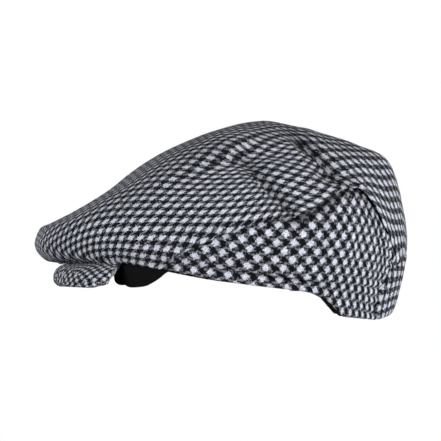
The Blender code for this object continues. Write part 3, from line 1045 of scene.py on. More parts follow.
def sloping(slope: Numbers, lengthwise: Numbers, crosswise: Numbers) -> Lay:
    """Cloth whose length runs towards the back and climbs by a slope in degrees.

    Args:
        slope: Degrees, one a point.
        lengthwise: Metres of cloth to a metre of its length.
        crosswise: The same across it.

    Returns:
        How the cloth lies.
    """
    climb = np.radians(slope)
    way = np.stack([np.zeros(len(climb)), np.cos(climb), np.sin(climb)], axis=-1)
    return Lay(way, lengthwise, crosswise)


def even(points: Numbers, way: tuple[float, float, float], fullness: float = 1.0) -> Lay:
    """Cloth whose length runs one way throughout."""
    full = np.full(len(points), fullness)
    return Lay(np.tile(way, (len(points), 1)), full, full)


def lay_along(bm: bmesh.types.BMesh, heading: Heading) -> tuple[float, float, float]:
    """Maps a piece's flat cut so that its length follows a direction as near as the shape lets it.

    Args:
        bm: The piece, whose seams are cuts in the map.
        heading: Says how the cloth lies at points.

    Returns:
        Width and length of the flat cut in metres, brought to the piece's area, and that area.
    """
    bmesh.ops.split_edges(bm, edges=[edge for edge in bm.edges if edge.seam])
    bm.normal_update()
    bm.verts.index_update()
    points = np.array([vert.co for vert in bm.verts])
    out = np.array([vert.normal for vert in bm.verts])
    lay = heading(points)
    upright = 1.0 - smooth_step(np.abs(out[:, 0]) / SIDEWAYS)
    press = out * np.stack([np.ones(len(out)), upright, upright], axis=-1)
    along = lay.way - press * ((lay.way * out).sum(axis=1) / (press * out).sum(axis=1))[:, None]
    along /= np.maximum(np.linalg.norm(along, axis=1), SAME_POINT)[:, None]
    across = np.cross(along, out) * lay.crosswise[:, None]
    along *= lay.lengthwise[:, None]
    ends = np.array([[vert.index for vert in edge.verts] for edge in bm.edges])
    step = points[ends[:, 1]] - points[ends[:, 0]]
    beside = np.array([sum(face.calc_area() for face in edge.link_faces) for edge in bm.edges])
    weight = beside / np.maximum((step * step).sum(axis=1), SAME_POINT**2)
    weight *= LEAST_WEIGHT + smooth_step((0.5 * out[ends, 2].sum(axis=1) + HIDDEN) / HIDDEN)
    wanted = [0.5 * ((way[ends[:, 0]] + way[ends[:, 1]]) * step).sum(axis=1) for way in (across, along)]
    flat = np.stack([settled(ends, weight, rows) for rows in wanted], axis=-1)
    layer = bm.loops.layers.uv.new("cloth")
    mapped = 0.0
    for face in bm.faces:
        corners = flat[[vert.index for vert in face.verts]]
        after = np.roll(corners, -1, axis=0)
        mapped += 0.5 * abs((corners[:, 0] * after[:, 1] - corners[:, 1] * after[:, 0]).sum())
        for loop in face.loops:
            loop[layer].uv = flat[loop.vert.index]
    area = sum(face.calc_area() for face in bm.faces)
    bmesh.ops.remove_doubles(bm, verts=bm.verts, dist=SAME_POINT)
    size = (flat.max(axis=0) - flat.min(axis=0)) * math.sqrt(area / mapped)
    return float(size[0]), float(size[1]), area


def wall(obj: bpy.types.Object, thickness: float, round_edge: float) -> None:
    """Gives an open sheet its thickness on the inner side, with rounded edges.

    Args:
        obj: The sheet.
        thickness: The cloth's thickness.
        round_edge: How far the edges are rounded.
    """
    solid = obj.modifiers.new("thickness", "SOLIDIFY")
    solid.thickness = thickness
    solid.offset = -1.0
    soft = obj.modifiers.new("rounded_edge", "BEVEL")
    soft.width = round_edge
    soft.segments = 2
    soft.limit_method = "ANGLE"
    soft.angle_limit = math.radians(SHARP)
    soft.use_clamp_overlap = True


def resting(points: Numbers, above: float = 0.0) -> Numbers:
    """Points lifted to the surface that the cap rests on where cloth would go through it."""
    return np.stack([points[:, 0], points[:, 1], np.maximum(points[:, 2], above)], axis=-1)


@dataclass
class Relief:
    """The folds, creases, gathers and soft dents of the crown's cloth."""

    form: CrownForm
    cutting: Cutting
    fold_depth: float = 0.0050
    fold_width: float = 0.0060
    fold_bank: float = 0.25
    fold_bank_away: float = 1.9
    fold_end: float = 0.3
    fold_end_reach: float = 0.25
    seam_proud: float = 0.0028
    seam_reach: float = 0.007
    edge_roll: float = 0.0022
    least_roll: float = 0.35
    tuck: float = 0.0034
    tuck_reach: float = 0.0040
    tuck_fade: float = 1.2
    hem_height: float = 0.0088
    hem_back_share: float = 0.35
    hem_sinks: Ramp = Ramp(0.045, 0.035)
    hem_crease: float = 0.0030
    hem_width: float = 0.0016
    hem_from: float = -0.012
    hem_to: float = 0.078
    hem_fades_over: float = 0.030
    hem_turns: tuple[float, float] = (60.0, 150.0)
    hem_points: int = 400
    droop: float = 0.0030
    droop_above: float = 0.0050
    gather_depth: float = 0.0008
    gather_pitch: float = 0.0068
    gather_reach: float = 0.020
    gather_sway: float = 3.0
    gather_sway_length: float = 0.021
    dent: float = 0.0007
    dent_size: float = 0.035
    pucker: float = 0.00025
    pucker_size: float = 0.009
    pucker_seed: float = 5.0
    # Painted shade: how strongly the shade attribute darkens the cloth's colour in fold valleys, below
    # the top seam, along the hem and the back seam, and how wide each band is.
    valley_shade: float = 0.55
    valley_spread: float = 0.8
    seam_shade: float = 0.80
    seam_shade_width: float = 0.0060
    seam_shade_from: Ramp = Ramp(0.030, 0.015)
    seam_shade_to: Ramp = Ramp(0.092, 0.015)
    hem_shade: float = 0.75
    hem_shade_width: float = 0.0020
    back_shade: float = 0.60
    back_shade_width: float = 0.0024

    def off_folds(
        self, points: Numbers, count: int
    ) -> Iterator[tuple[dict[str, float], Numbers, Numbers]]:
        """Where points lie from the first folds of the table, seen from the side.

        Args:
            points: The points.
            count: How many folds are read.

        Returns:
            For each fold its columns by name, how far along it the points lie as a share, and how
            many metres off it.
        """
        size = np.array((self.form.length, self.form.height))
        for row in FOLDS[:count]:
            fold = dict(zip(FOLD_COLUMNS, row))
            start = np.array((fold["y_from"], fold["z_from"])) * size
            along = np.array((fold["y_to"], fold["z_to"])) * size - start
            here = points[:, 1:] - start
            share = np.clip(here @ along / (along @ along), 0.0, 1.0)
            yield fold, share, np.linalg.norm(here - share[:, None] * along, axis=1)

    def folds(self, points: Numbers) -> Numbers:
        """How far the folds push points.

        Args:
            points: The points.

        Returns:
            Metres out, below 0 where they push in.
        """
        total = np.zeros(len(points))
        for fold, share, away in self.off_folds(points, len(FOLDS)):
            away = away / (fold["width"] * self.fold_width)
            shape = self.fold_bank * bell(away - self.fold_bank_away) - bell(away)
            fade = smooth_step(share / self.fold_end_reach + self.fold_end)
            fade *= smooth_step((1.0 - share) / self.fold_end_reach + self.fold_end)
            total += fold["depth"] * self.fold_depth * shape * fade
        return total

    def valleys(self, points: Numbers, spread: float) -> Numbers:
        """How near points are to the valleys of the main folds.

        Args:
            points: The points.
            spread: How wide a valley counts, in widths of its fold.

        Returns:
            Up to 1 a point, and more where folds meet.
        """
        total = np.zeros(len(points))
        for fold, _, away in self.off_folds(points, MAIN_FOLDS):
            total += fold["depth"] * bell(away / (spread * fold["width"] * self.fold_width))
        return total

    def shade(self, points: Numbers, under_seam: bool) -> Numbers:
        """The shade painted into the cloth's colour in the valleys of folds, below seams and along the
        hem.

        Args:
            points: The points.
            under_seam: Whether the piece lies below the top panel's seam.

        Returns:
            0 to 1 a point.
        """
        dark = self.valley_shade * np.minimum(self.valleys(points, self.valley_spread), 1.0)
        if under_seam:
            y = points[:, 1]
            beside = self.seam_shade_from(y) * (1.0 - self.seam_shade_to(y))
            lines = (
                (self.cutting.top_line(), self.seam_shade * beside, self.seam_shade_width),
                (self.cutting.back_line(), self.back_shade, self.back_shade_width),
                (self.hem_line(), self.hem_shade * self.hem_fade(y), self.hem_shade_width),
            )
            for line, strength, width in lines:
                dark += strength * bell(distances(points, line) / width)
        return np.clip(dark, 0.0, 1.0)

    def soft_dents(self, points: Numbers, seed: float) -> Numbers:
        """Broad dents and small puckers of well-used cloth."""
        broad = self.dent * ripple(points, self.dent_size, seed)
        return broad + self.pucker * ripple(points, self.pucker_size, seed + self.pucker_seed)

    def proud_edge(self, turn: Numbers, away: Numbers) -> Numbers:
        """The top panel's folded edge: raised over the side panel, then rolled under.

        Args:
            turn: Turns of 0..180, one a point.
            away: Metres from the seam, one a point.

        Returns:
            Metres out, one a point.
        """
        strength = from_table(SEAM_STRENGTH, turn)
        under = rolled(away, self.edge_roll) * mixed(self.least_roll, 1.0, strength)
        return self.seam_proud * strength * bell(away / self.seam_reach) - under

    def tucked(self, away: Numbers) -> Numbers:
        """The edge that goes under its neighbour, at signed distances from the seam."""
        return -self.tuck * smooth_step((self.tuck_reach - away) / (self.tuck_fade * self.tuck_reach))

    def hem(self, points: Numbers, reach: Numbers) -> Numbers:
        """The turned hem along the side, with the cloth above it drooping over its edge.

        Args:
            points: The points.
            reach: Metres of cloth from the lower edge up to each point.

        Returns:
            Metres out, one a point.
        """
        above = reach - self.hem_level(points[:, 1])
        crease = -self.hem_crease * bell(above / self.hem_width)
        over = self.droop * bell((above - self.droop_above) / self.droop_above)
        return (crease + over) * self.hem_fade(points[:, 1]) - rolled(reach, self.edge_roll)

    def hem_fade(self, y: Numbers) -> Numbers:
        """How strong the hem's crease is along the side, 0..1."""
        starts = smooth_step((y - self.hem_from) / self.hem_fades_over)
        return starts * smooth_step((self.hem_to - y) / self.hem_fades_over)

    def hem_level(self, y: Numbers) -> Numbers:
        """Metres of cloth from the lower edge up to the crease."""
        return mixed(self.hem_height, self.hem_back_share * self.hem_height, self.hem_sinks(y))

    def hem_line(self) -> Numbers:
        """Close points along the hem's crease.

        Returns:
            The points, from the front to the back.
        """
        turn = np.linspace(*self.hem_turns, self.hem_points)
        low = np.zeros(self.hem_points)
        level = self.hem_level(self.form.surface(turn, low)[:, 1])
        return self.form.surface(turn, level / self.form.climb(turn, low))

    def gathers(self, away: Numbers, along: Numbers) -> Numbers:
        """Small pleats that run off a seam.

        Args:
            away: Metres from the seam, one a point.
            along: Metres along it, one a point.

        Returns:
            Metres out, one a point.
        """
        sway = self.gather_sway * np.sin(along / self.gather_sway_length)
        wave = np.sin(2.0 * math.pi * along / self.gather_pitch + sway)
        return self.gather_depth * wave * np.exp(-np.abs(away) / self.gather_reach)


@dataclass
class Panel:
    """What the crown's panels share: the form that they are cut from, their cloth and their edges."""

    form: CrownForm
    cutting: Cutting
    relief: Relief
    wool: CheckedWool
    cloth: float = WOOL_CLOTH
    round_edge: float = 0.0006
    underlap: float = 0.0030

    def below_seam(self, base: Numbers, turn: Numbers, rise: Numbers) -> Numbers:
        """Distances from the top panel's seam, negative above it."""
        away = distances(base, self.cutting.top_line())
        return np.where(rise < self.cutting.seam_rise(turn), away, -away)

    def lapped(self, turn: Numbers) -> Numbers:
        """Rise of a panel's upper edge, which goes under the top panel at turns of its seam."""
        seam = self.cutting.seam_rise(turn)
        return seam + self.underlap / self.form.climb(turn, seam)

    def pushed(
        self, turn: Numbers, rise: Numbers, base: Numbers, push: Numbers, above: float = 0.0
    ) -> Numbers:
        """The base points moved out by push, and kept above the surface that the cap rests on."""
        return resting(base + self.form.normals(turn, rise) * push[:, None], above)

    def sewn(
        self, name: str, bm: bmesh.types.BMesh, finish: str, grain: Grain, under_seam: bool = True
    ) -> bpy.types.Object:
        """Makes the panel's object of its mesh.

        Args:
            name: The piece's name.
            bm: Its mesh, which is used up.
            finish: The material's name.
            grain: How the panel is cut.
            under_seam: Whether it lies below the top panel's seam.

        Returns:
            The object, with its thickness, its wool and the shade in its creases.
        """
        wool = self.wool.material(finish, grain)
        obj = finished(name, bm, wool, lambda points: self.relief.shade(points, under_seam))
        wall(obj, self.cloth, self.round_edge)
        return obj


@dataclass
class TopPanel(Panel):
    """The large bias-cut panel over the front, the top and down to the back."""

    columns: int = 288
    rows: int = 104
    crowding: float = 1.35
    seed: float = 1.0
    point_fade: float = 0.03
    fold_cuts: tuple[tuple[float, float], ...] = ((87.5, 0.56), (110.0, 0.70))
    leans_from: Ramp = Ramp(50.0, 30.0)
    leans_to: Ramp = Ramp(115.0, 30.0)
    fold_lean: float = 1.05
    fold_level: float = 0.117
    pinch: float = 0.45
    pinch_width: float = 0.8
    nose: Ramp = Ramp(0.085, 0.02)
    nose_fullness: float = 0.4
    lip: Ramp = Ramp(0.055, 0.03)
    lip_top: float = 0.048
    lip_fade: float = 0.015
    lip_fullness: float = 0.5
    evening: float = 14.0
    evening_reach: float = 0.2
    evening_steps: int = 15

    def drift(self, angle: Numbers, height: Numbers) -> Numbers:
        """Turns by which the grid leans so that its columns follow the folds."""
        near = self.leans_from(angle) * (1.0 - self.leans_to(angle))
        return near * from_table(FOLD_LEAN, height)

    def low_edge(self, angle: Numbers, height: Numbers) -> Numbers:
        """The rise that the grid starts from: the panel's lower edge, evened out further up.

        Args:
            angle: Turns of 0..180, one a point.
            height: Shares of the way up, one a point.

        Returns:
            Rises, one a point.
        """
        spread = self.evening * smooth_step(height / self.evening_reach)
        steps = np.linspace(-1.0, 1.0, self.evening_steps)
        rises = (self.cutting.seam_rise(np.clip(angle + step * spread, 0.0, 180.0)) for step in steps)
        return sum(rises) / self.evening_steps

    def heading(self, points: Numbers) -> Lay:
        """How the cloth lies: along the cap's ridge, turning at the folds, and full under the nose.

        Args:
            points: The points.

        Returns:
            The cloth's way and fullness at each.
        """
        y, z = points[:, 1], points[:, 2]
        behind = y + self.fold_lean * (z - self.fold_level)
        crosswise = 1.0 + from_table(TOP_FULLNESS, z) * from_table(AHEAD, behind)
        crosswise += from_table(BEHIND, behind)
        crosswise += self.nose_fullness * self.nose(-y)
        lip = self.lip(-y) * smooth_step((self.lip_top - z) / self.lip_fade)
        full = self.pinch * self.relief.valleys(points, self.pinch_width) + self.lip_fullness * lip
        return sloping(from_table(RIDGE_SLOPE, behind), 1.0 + full, crosswise + full)

    def place(self, share: Numbers, height: Numbers) -> Numbers:
        """Points of the panel.

        Args:
            share: Shares of the way round.
            height: Shares of the way up to the top point.

        Returns:
            X, y and z of each point.
        """
        angle, side = folded_turn(360.0 * share)
        angle = angle + self.drift(angle, height)
        turn = side * angle
        rise = mixed(self.low_edge(angle, height), 1.0, height**self.crowding)
        base = self.form.surface(turn, rise)
        away = distances(base, self.cutting.top_line())
        away = np.where(angle < self.cutting.start, away + self.form.edge_reach(turn, rise), away)
        push = self.relief.folds(base) + self.relief.soft_dents(base, self.seed)
        push += self.relief.proud_edge(angle, away)
        push *= smooth_step((1.0 - rise) / self.point_fade)
        return self.pushed(turn, rise, base, push)

    def build(self) -> bpy.types.Object:
        """Models and dresses the panel.

        Returns:
            The panel.
        """
        cuts = [(turn / 360.0, reach) for turn, reach in self.fold_cuts]
        cuts += [(1.0 - share, reach) for share, reach in cuts]
        bm = bent_grid(self.columns, self.rows, self.place, tuple(cuts))
        width, length, area = lay_along(bm, self.heading)
        obj = self.sewn("top_cloth", bm, "checked_wool_top", Grain.BIAS, under_seam=False)
        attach(obj, BODY)
        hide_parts("top_panel")
        LOG.info("%s: flat %.3f x %.3f m, %.4f m2", obj.name, width, length, area)
        return obj


@dataclass
class SidePanel(Panel):
    """A bias-cut panel from the temple to the back seam."""

    side: Side = Side.LEFT
    seed: float = 11.0
    rest: float = 0.0
    columns: int = 170
    rows: int = 72
    closeness: float = 0.8
    pleat_lean: float = 0.35
    pleats_from: Ramp = Ramp(104.0, 12.0)
    least_tuck: float = 0.55

    def region(self, share: Numbers, height: Numbers) -> tuple[Numbers, Numbers]:
        """The part of the crown that the panel takes, with the strip that goes under the top panel.

        Args:
            share: Shares of the way back.
            height: Shares of the way up.

        Returns:
            Turn and rise of each point.
        """
        top_turn = mixed(self.cutting.start, self.cutting.corner, share)
        low_turn = mixed(self.cutting.start, BACK_SEAM[0][1], share)
        turn = mixed(low_turn, top_turn, height)
        turn = turn + share**self.cutting.bend_fade * self.cutting.bulge(height)
        return turn, height * self.lapped(top_turn)

    def heading(self, points: Numbers) -> Lay:
        """How the cloth lies: lengthwise towards the back, and gathered there."""
        y = points[:, 1]
        return sloping(from_table(SIDE_SLOPE, y), from_table(SIDE_FULLNESS, y), np.ones(len(y)))

    def place(self, share: Numbers, height: Numbers) -> Numbers:
        """Points of the panel.

        Args:
            share: Shares of the way back.
            height: Shares of the way up.

        Returns:
            X, y and z of each point.
        """
        turn, rise = self.region(crowded(share, self.closeness), crowded(height, self.closeness))
        turned = self.side.value * turn
        base = self.form.surface(turned, rise)
        away = self.below_seam(base, turn, rise)
        back = distances(base, self.cutting.back_line())
        pleats = self.relief.gathers(away, base[:, 1] + self.pleat_lean * base[:, 2])
        push = self.relief.folds(base) + self.relief.soft_dents(base, self.seed)
        push += self.relief.tucked(away) * mixed(self.least_tuck, 1.0, from_table(SEAM_STRENGTH, turn))
        push += self.relief.hem(base, self.form.edge_reach(turn, rise)) + pleats * self.pleats_from(turn)
        push += self.relief.gathers(back, base[:, 2]) - rolled(back, self.relief.edge_roll)
        return self.pushed(turned, rise, base, push, self.rest)

    def build(self) -> bpy.types.Object:
        """Models and dresses the panel.

        Returns:
            The panel.
        """
        name = f"side_cloth_{self.side.name.lower()}"
        bm = bent_grid(self.columns, self.rows, self.place)
        width, length, area = lay_along(bm, self.heading)
        obj = self.sewn(name, bm, f"checked_wool_{name}", Grain.BIAS)
        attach(obj, BODY)
        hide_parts(f"side_panel_{self.side.name.lower()}")
        LOG.info("%s: flat %.3f x %.3f m, %.4f m2", obj.name, width, length, area)
        return obj


@dataclass
class BackPanel(Panel):
    """The small panel over the nape, cut on the straight grain."""

    columns: int = 90
    rows: int = 56
    closeness: float = 0.7
    side_lap: float = 2.2
    fullness: float = 1.15
    seed: float = 23.0

    def heading(self, points: Numbers) -> Lay:
        """How the cloth lies: lengthwise straight up."""
        return even(points, (0.0, 0.0, 1.0), self.fullness)

    def place(self, share: Numbers, height: Numbers) -> Numbers:
        """Points of the panel.

        Args:
            share: Shares of the way round.
            height: Shares of the way up.

        Returns:
            X, y and z of each point.
        """
        share, height = crowded(share, self.closeness), crowded(height, self.closeness)
        top_turn, low_turn = (
            mixed(turn - self.side_lap, 360.0 - turn + self.side_lap, share)
            for turn in (self.cutting.corner, BACK_SEAM[0][1])
        )
        bend = (1.0 - share) ** self.cutting.bend_fade - share**self.cutting.bend_fade
        turn = mixed(low_turn, top_turn, height) + bend * self.cutting.bulge(height)
        angle = folded_turn(turn)[0]
        rise = height * self.lapped(folded_turn(top_turn)[0])
        base = self.form.surface(turn, rise)
        away = self.below_seam(base, angle, rise)
        beside = distances(base, self.cutting.back_line())
        beside = np.where(angle > from_table(BACK_SEAM, height), beside, -beside)
        push = self.relief.soft_dents(base, self.seed)
        push -= rolled(self.form.edge_reach(turn, rise), self.relief.edge_roll)
        push += np.minimum(self.relief.tucked(away), self.relief.tucked(beside))
        return self.pushed(turn, rise, base, push)

    def build(self) -> bpy.types.Object:
        """Models and dresses the panel.

        Returns:
            The panel.
        """
        bm = bent_grid(self.columns, self.rows, self.place)
        width, length, area = lay_along(bm, self.heading)
        obj = self.sewn("back_cloth", bm, "checked_wool_back", Grain.STRAIGHT)
        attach(obj, BODY)
        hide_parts("back_panel")
        LOG.info("%s: flat %.3f x %.3f m, %.4f m2", obj.name, width, length, area)
        return obj


@dataclass
class Peak:
    """The stiff arched peak, covered in the crown's wool."""

    form: PeakForm
    wool: CheckedWool
    columns: int = 150
    rows: int = 30
    inside: float = 0.06
    edge: float = 0.0013
    edge_segments: int = 4
    inner: float = 0.86
    spread_reach: float = 0.9
    spread_power: int = 8
    fullness: float = 1.8
    rim: float = 0.0028
    roll: float = 0.0060
    roll_from: float = 0.80
    end_lean: float = 0.0045
    end_power: float = 14.0
    end_lift: float = 0.0060
    end_from: float = -0.096
    end_reach: float = 0.016
    faces_down: float = -0.2
    faces_back: float = 0.7

    def face(self, share: Numbers, height: Numbers) -> Numbers:
        """Points of the upper face, from side to side and from root to outline.

        Args:
            share: Shares of the way from side to side.
            height: Shares of the way from the root to the outline.

        Returns:
            X, y and z of each point.
        """
        turn = math.pi * (share - 0.5)
        half = 0.5 * self.form.width
        x_root = self.inner * half * np.sin(turn)
        x_out = half * np.sin(turn)
        reach = smooth_step(height / self.spread_reach)
        x = mixed(x_root, x_out, mixed(reach, 1.0, np.abs(np.sin(turn)) ** self.spread_power))
        rear = self.form.root(x) - self.end_lean * np.abs(x / half) ** self.end_power
        y = mixed(rear, self.form.tip(x_out), height)
        past = np.clip((height - self.roll_from) / (1.0 - self.roll_from), 0.0, 1.0)
        drop = self.roll * (1.0 - np.sqrt(1.0 - past * past)) * np.sqrt(np.cos(turn))
        lift = self.end_lift * smooth_step((y - self.end_from) / self.end_reach)
        return np.stack([x, y, np.maximum(self.form.over(x, y) - drop, self.rim + lift)], axis=-1)

    def directions(self, share: Numbers, height: Numbers) -> Numbers:
        """Downward directions of the upper face, read a little inside its edges.

        Args:
            share: Shares of the way from side to side.
            height: Shares of the way from the root to the outline.

        Returns:
            A unit vector for each point.
        """
        near = np.clip(share, self.inside, 1.0 - self.inside)
        into = np.clip(height, self.inside, 1.0 - self.inside)
        across = self.face(near + STEP_RISE, into) - self.face(near - STEP_RISE, into)
        ahead = self.face(near, into + STEP_RISE) - self.face(near, into - STEP_RISE)
        down = np.cross(across, ahead)
        return down / np.linalg.norm(down, axis=1)[:, None]

    def build(self) -> bpy.types.Object:
        """Models and dresses the peak.

        Returns:
            The peak.
        """
        bm = bmesh.new()
        bmesh.ops.create_grid(bm, x_segments=self.columns, y_segments=self.rows, size=0.5)
        made = bmesh.ops.extrude_face_region(bm, geom=bm.faces[:])
        lowered = {item for item in made["geom"] if isinstance(item, bmesh.types.BMVert)}
        shares, heights = grid_shares(bm)
        upper = self.face(shares, heights)
        lower = upper + self.directions(shares, heights) * self.form.thickness
        lower[:, 1] = np.minimum(lower[:, 1], self.form.forehead(lower[:, 0]) - self.form.gap)
        lower = resting(lower)
        for vert, high, low in zip(bm.verts, upper, lower):
            vert.co = low if vert in lowered else high
        bmesh.ops.recalc_face_normals(bm, faces=bm.faces)
        rims = [e for e in bm.edges if e.calc_face_angle(0.0) > math.radians(SHARP)]
        bmesh.ops.bevel(
            bm, geom=rims, offset=self.edge, affect="EDGES", segments=self.edge_segments,
            profile=0.5, material=-1, clamp_overlap=True,
        )
        for edge in bm.edges:
            down = [face.normal.z < self.faces_down for face in edge.link_faces]
            rear = [face.normal.y > self.faces_back for face in edge.link_faces]
            edge.seam = down[0] != down[-1] or rear[0] != rear[-1]
        lay_along(bm, lambda points: even(points, (0.0, 1.0, 0.0), self.fullness))
        obj = finished("peak_cloth", bm, self.wool.material("checked_wool_peak", Grain.BIAS))
        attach(obj, BODY)
        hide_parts("peak")
        LOG.info("%s: %.0f mm wide", obj.name, MILLIMETRES * self.form.width)
        return obj


@dataclass
class HeadOpening:
    """Plan of the head opening that the sweatband and the lining follow."""

    form: CrownForm
    peak: PeakForm
    cloth: float = WOOL_CLOTH
    gap: float = GAP
    corner: float = 0.012
    roundness: float = 0.25
    band_height: float = 0.030
    step: float = 1.0

    def outline(self, turn: Numbers) -> tuple[Numbers, Numbers]:
        """The opening in plan, a gap inside the rim's inner face.

        Args:
            turn: Turns, one a point.

        Returns:
            X and y of each point.
        """
        angle, side = folded_turn(turn)
        edge = self.form.sections(np.zeros(turn.shape))
        x, y = self.form.plan(edge, angle)
        ahead = self.form.plan(edge, np.minimum(angle + self.step, 180.0))
        behind = self.form.plan(edge, np.maximum(angle - self.step, 0.0))
        across, along = ahead[0] - behind[0], ahead[1] - behind[1]
        inwards = (self.cloth + self.gap) / np.hypot(across, along)
        x, y = np.maximum(x - along * inwards, 0.0), y + across * inwards
        front = self.peak.forehead(x)
        overlap = np.maximum(self.corner - np.abs(y - front), 0.0) / self.corner
        return side * x, np.maximum(y, front) + self.roundness * self.corner * overlap**2

    def band_top(self, turn: Numbers) -> Numbers:
        """Height of the sweatband's upper edge.

        Args:
            turn: Turns, one a point.

        Returns:
            Metres up, one a point.
        """
        angle = folded_turn(turn)[0]
        edge = self.form.sections(np.zeros(turn.shape))
        return self.form.stations(edge, angle) + self.band_height


@dataclass
class Sweatband:
    """The black band round the inside of the head opening."""

    opening: HeadOpening
    cloth: BlackCloth
    columns: int = 260
    rows: int = 16
    thickness: float = 0.0012
    round_edge: float = 0.0004
    rest: float = 0.0004
    mean_radius: float = 0.095
    back_turn: float = 3.0

    def place(self, share: Numbers, height: Numbers) -> Numbers:
        """Points of the band's outer face.

        Args:
            share: Shares of the way round the opening.
            height: Shares of the way up the band.

        Returns:
            X, y and z of each point.
        """
        turn = 360.0 * share
        x, y = self.opening.outline(turn)
        angle, side = folded_turn(turn)
        low = self.opening.form.height * from_table(BAND_EDGE, angle)
        low += self.opening.form.rim_shift(angle, side, np.zeros(len(turn)))
        z = mixed(low, self.opening.band_top(turn), height)
        return resting(np.stack([x, y, z], axis=-1), self.rest)

    def lay(self, bm: bmesh.types.BMesh) -> None:
        """Maps the band as a strip, with its ends at the middle of the back.

        Args:
            bm: The band's mesh.
        """
        layer = bm.loops.layers.uv.new("cloth")
        for face in bm.faces:
            right = face.calc_center_median().x < 0.0
            for loop in face.loops:
                turn = math.atan2(loop.vert.co.x, HEART[1] - loop.vert.co.y)
                if right and turn > self.back_turn:
                    turn -= 2.0 * math.pi
                loop[layer].uv = (self.mean_radius * turn, loop.vert.co.z)

    def build(self) -> bpy.types.Object:
        """Models and dresses the band.

        Returns:
            The band.
        """
        bm = bent_grid(self.columns, self.rows, self.place)
        self.lay(bm)
        obj = finished("band_cloth", bm, self.cloth.material("black_twill", Grain.BIAS))
        wall(obj, self.thickness, self.round_edge)
        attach(obj, BODY)
        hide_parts("sweatband")
        LOG.info("%s: %.0f mm high", obj.name, MILLIMETRES * self.opening.band_height)
        return obj


@dataclass
class Lining:
    """The black lining over the head."""

    opening: HeadOpening
    cloth: BlackCloth
    columns: int = 200
    rows: int = 70
    thickness: float = 0.0010
    round_edge: float = 0.0003
    blend: float = 0.4
    depth: float = 0.0054
    crumple: float = 0.0018
    crumple_size: float = 0.022
    crumple_from: float = 0.1
    crumple_to: float = 0.05
    seed: float = 31.0

    def place(self, share: Numbers, height: Numbers) -> Numbers:
        """Points of the lining's outer face.

        Args:
            share: Shares of the way round the head.
            height: Shares of the way up to the top.

        Returns:
            X, y and z of each point.
        """
        turn = 360.0 * share
        form = self.opening.form
        inner = mixed(from_table(LINING_LOW, folded_turn(turn)[0]), 1.0, height)
        under = form.surface(turn, inner) - form.normals(turn, inner) * self.depth
        x, y = self.opening.outline(turn)
        foot = np.stack([x, y, self.opening.band_top(turn) + self.opening.gap], axis=-1)
        points = mixed(foot, under, smooth_step(height / self.blend)[:, None])
        sag = np.abs(ripple(points, self.crumple_size, self.seed))
        sag *= smooth_step(height / self.crumple_from) * smooth_step((1.0 - height) / self.crumple_to)
        inward = np.array(HEART) - points
        inward /= np.linalg.norm(inward, axis=1)[:, None]
        return points + inward * (self.crumple * sag)[:, None]

    def build(self) -> bpy.types.Object:
        """Models and dresses the lining.

        Returns:
            The lining.
        """
        bm = bent_grid(self.columns, self.rows, self.place)
        width, length, area = lay_along(bm, lambda points: even(points, (0.0, 1.0, 0.0)))
        obj = finished("lining_cloth", bm, self.cloth.material("black_satin", Grain.STRAIGHT))
        wall(obj, self.thickness, self.round_edge)
        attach(obj, BODY)
        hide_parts("lining")
        LOG.info("%s: flat %.3f x %.3f m, %.4f m2", obj.name, width, length, area)
        return obj


@dataclass(frozen=True)
class SoftLight:
    """A square studio light that faces the cap."""

    name: str
    azimuth: float
    elevation: float
    distance: float
    size: float
    power: float

    def build(self, target: Vector) -> bpy.types.Object:
        """Hangs the light.

        Args:
            target: What it is aimed at.

        Returns:
            The light.
        """
        data = bpy.data.lights.new(self.name, "AREA")
        data.shape = "SQUARE"
        data.size = self.size
        data.energy = self.power
        back = towards(math.radians(self.azimuth), math.radians(self.elevation))
        light = linked(self.name, data)
        light.location = target + back * self.distance
        light.rotation_mode = "QUATERNION"
        light.rotation_quaternion = (-back).to_track_quat("-Z", "Y")
        return light


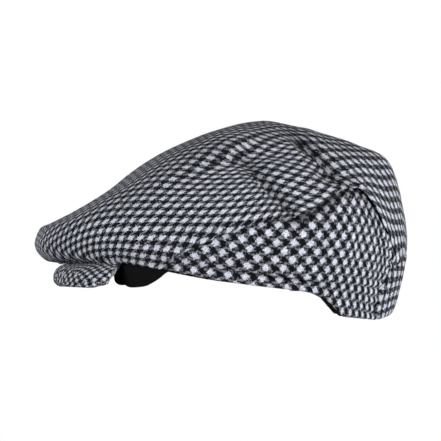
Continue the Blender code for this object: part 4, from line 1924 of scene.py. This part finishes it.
@dataclass
class Studio:
    """A pale floor, soft light and the camera."""

    target: Vector = field(default_factory=lambda: Vector((0.0, -0.0023, 0.0608)))
    azimuth: float = 85.0
    distance: float = 2.0
    camera_height: float = 0.020
    roll: float = 5.85
    frame_width: float = 0.325
    sensor: float = 0.036
    floor_size: float = 60.0
    paper: tuple[float, float, float, float] = (0.85, 0.85, 0.86, 1.0)
    ambient: float = 0.045
    glow: float = 1.0
    lights: tuple[SoftLight, ...] = (
        SoftLight("key", 133.0, 4.0, 1.5, 0.8, 47.0),
        SoftLight("fill", 18.0, 1.0, 1.8, 0.8, 55.0),
        SoftLight("above", 160.0, 65.0, 1.6, 1.0, 0.2),
        SoftLight("behind", 255.0, 12.0, 1.8, 1.0, 4.0),
    )

    def floor(self) -> bpy.types.Object:
        """Lays the floor, which the camera sees as plain pale paper.

        Returns:
            The floor.
        """
        bm = bmesh.new()
        bmesh.ops.create_grid(bm, x_segments=1, y_segments=1, size=0.5 * self.floor_size)
        mesh = bpy.data.meshes.new("floor")
        bm.to_mesh(mesh)
        bm.free()
        floor = linked("floor", mesh)
        paper, graph, shader = blank_finish("pale_paper")
        seen = graph.node("ShaderNodeLightPath").outputs["Is Camera Ray"]
        finish = {
            "Base Color": graph.blend(seen, self.paper, BLACK),
            "Roughness": 1.0,
            "Specular IOR Level": 0.0,
            "Emission Color": WHITE,
            "Emission Strength": graph.math("MULTIPLY", seen, self.glow),
        }
        graph.fill(shader, finish)
        mesh.materials.append(paper)
        return floor

    def camera(self) -> bpy.types.Object:
        """Stands the camera at the photograph's angle, turned as the photograph is.

        Returns:
            The camera.
        """
        turn, roll = math.radians(self.azimuth), math.radians(self.roll)
        back = towards(turn, math.asin((self.camera_height - self.target.z) / self.distance))
        level = Vector((math.cos(turn), math.sin(turn), 0.0))
        upward = back.cross(level)
        right = level * math.cos(roll) + upward * math.sin(roll)
        up = upward * math.cos(roll) - level * math.sin(roll)
        data = bpy.data.cameras.new("camera")
        data.sensor_width = MILLIMETRES * self.sensor
        data.lens = MILLIMETRES * self.sensor * self.distance / self.frame_width
        camera = linked("camera", data)
        place = Matrix((right, up, back)).transposed().to_4x4()
        place.translation = self.target + back * self.distance
        camera.matrix_world = place
        bpy.context.scene.camera = camera
        return camera

    def world(self) -> None:
        """Fills the room with pale light."""
        world = bpy.data.worlds.new("room")
        world.use_nodes = True
        graph = Graph(world.node_tree)
        seen = graph.node("ShaderNodeLightPath").outputs["Is Camera Ray"]
        strength = graph.times(seen, 1.0 - self.ambient, self.ambient)
        graph.fill(world.node_tree.nodes["Background"], {"Color": WHITE, "Strength": strength})
        bpy.context.scene.world = world

    def build(self) -> None:
        """Sets up the whole studio."""
        self.floor()
        self.world()
        for light in self.lights:
            light.build(self.target)
        self.camera()


def main() -> None:
    """Builds the cap's pieces in order, and then the studio round them."""
    logging.basicConfig(level=logging.INFO, format="%(name)s: %(message)s")
    bpy.context.scene.view_settings.view_transform = "Standard"
    weave = (thread_wobble_group(), twill_group())
    wool = CheckedWool(*weave)
    dull, smooth = (0.0016, 0.0015, 0.0016), (0.0020, 0.0020, 0.0026)
    band = BlackCloth(*weave, thread=0.0006, colour=dull, roughness=0.95, relief=0.6)
    satin = BlackCloth(*weave, thread=0.0003, colour=smooth, roughness=0.60, relief=0.4)
    form = CrownForm()
    cutting = Cutting(form)
    crown = (form, cutting, Relief(form, cutting), wool)
    opening = HeadOpening(form, form.peak)
    pieces = (
        TopPanel(*crown),
        SidePanel(*crown, side=Side.LEFT, seed=11.0),
        SidePanel(*crown, side=Side.RIGHT, seed=17.0, rest=0.0022),
        BackPanel(*crown),
        Peak(form.peak, wool),
        Sweatband(opening, band),
        Lining(opening, satin),
    )
    for piece in pieces:
        made = piece.build()
        LOG.info("%s: %d faces", made.name, len(made.data.polygons))
    Studio().build()


if __name__ == "__main__":
    main()
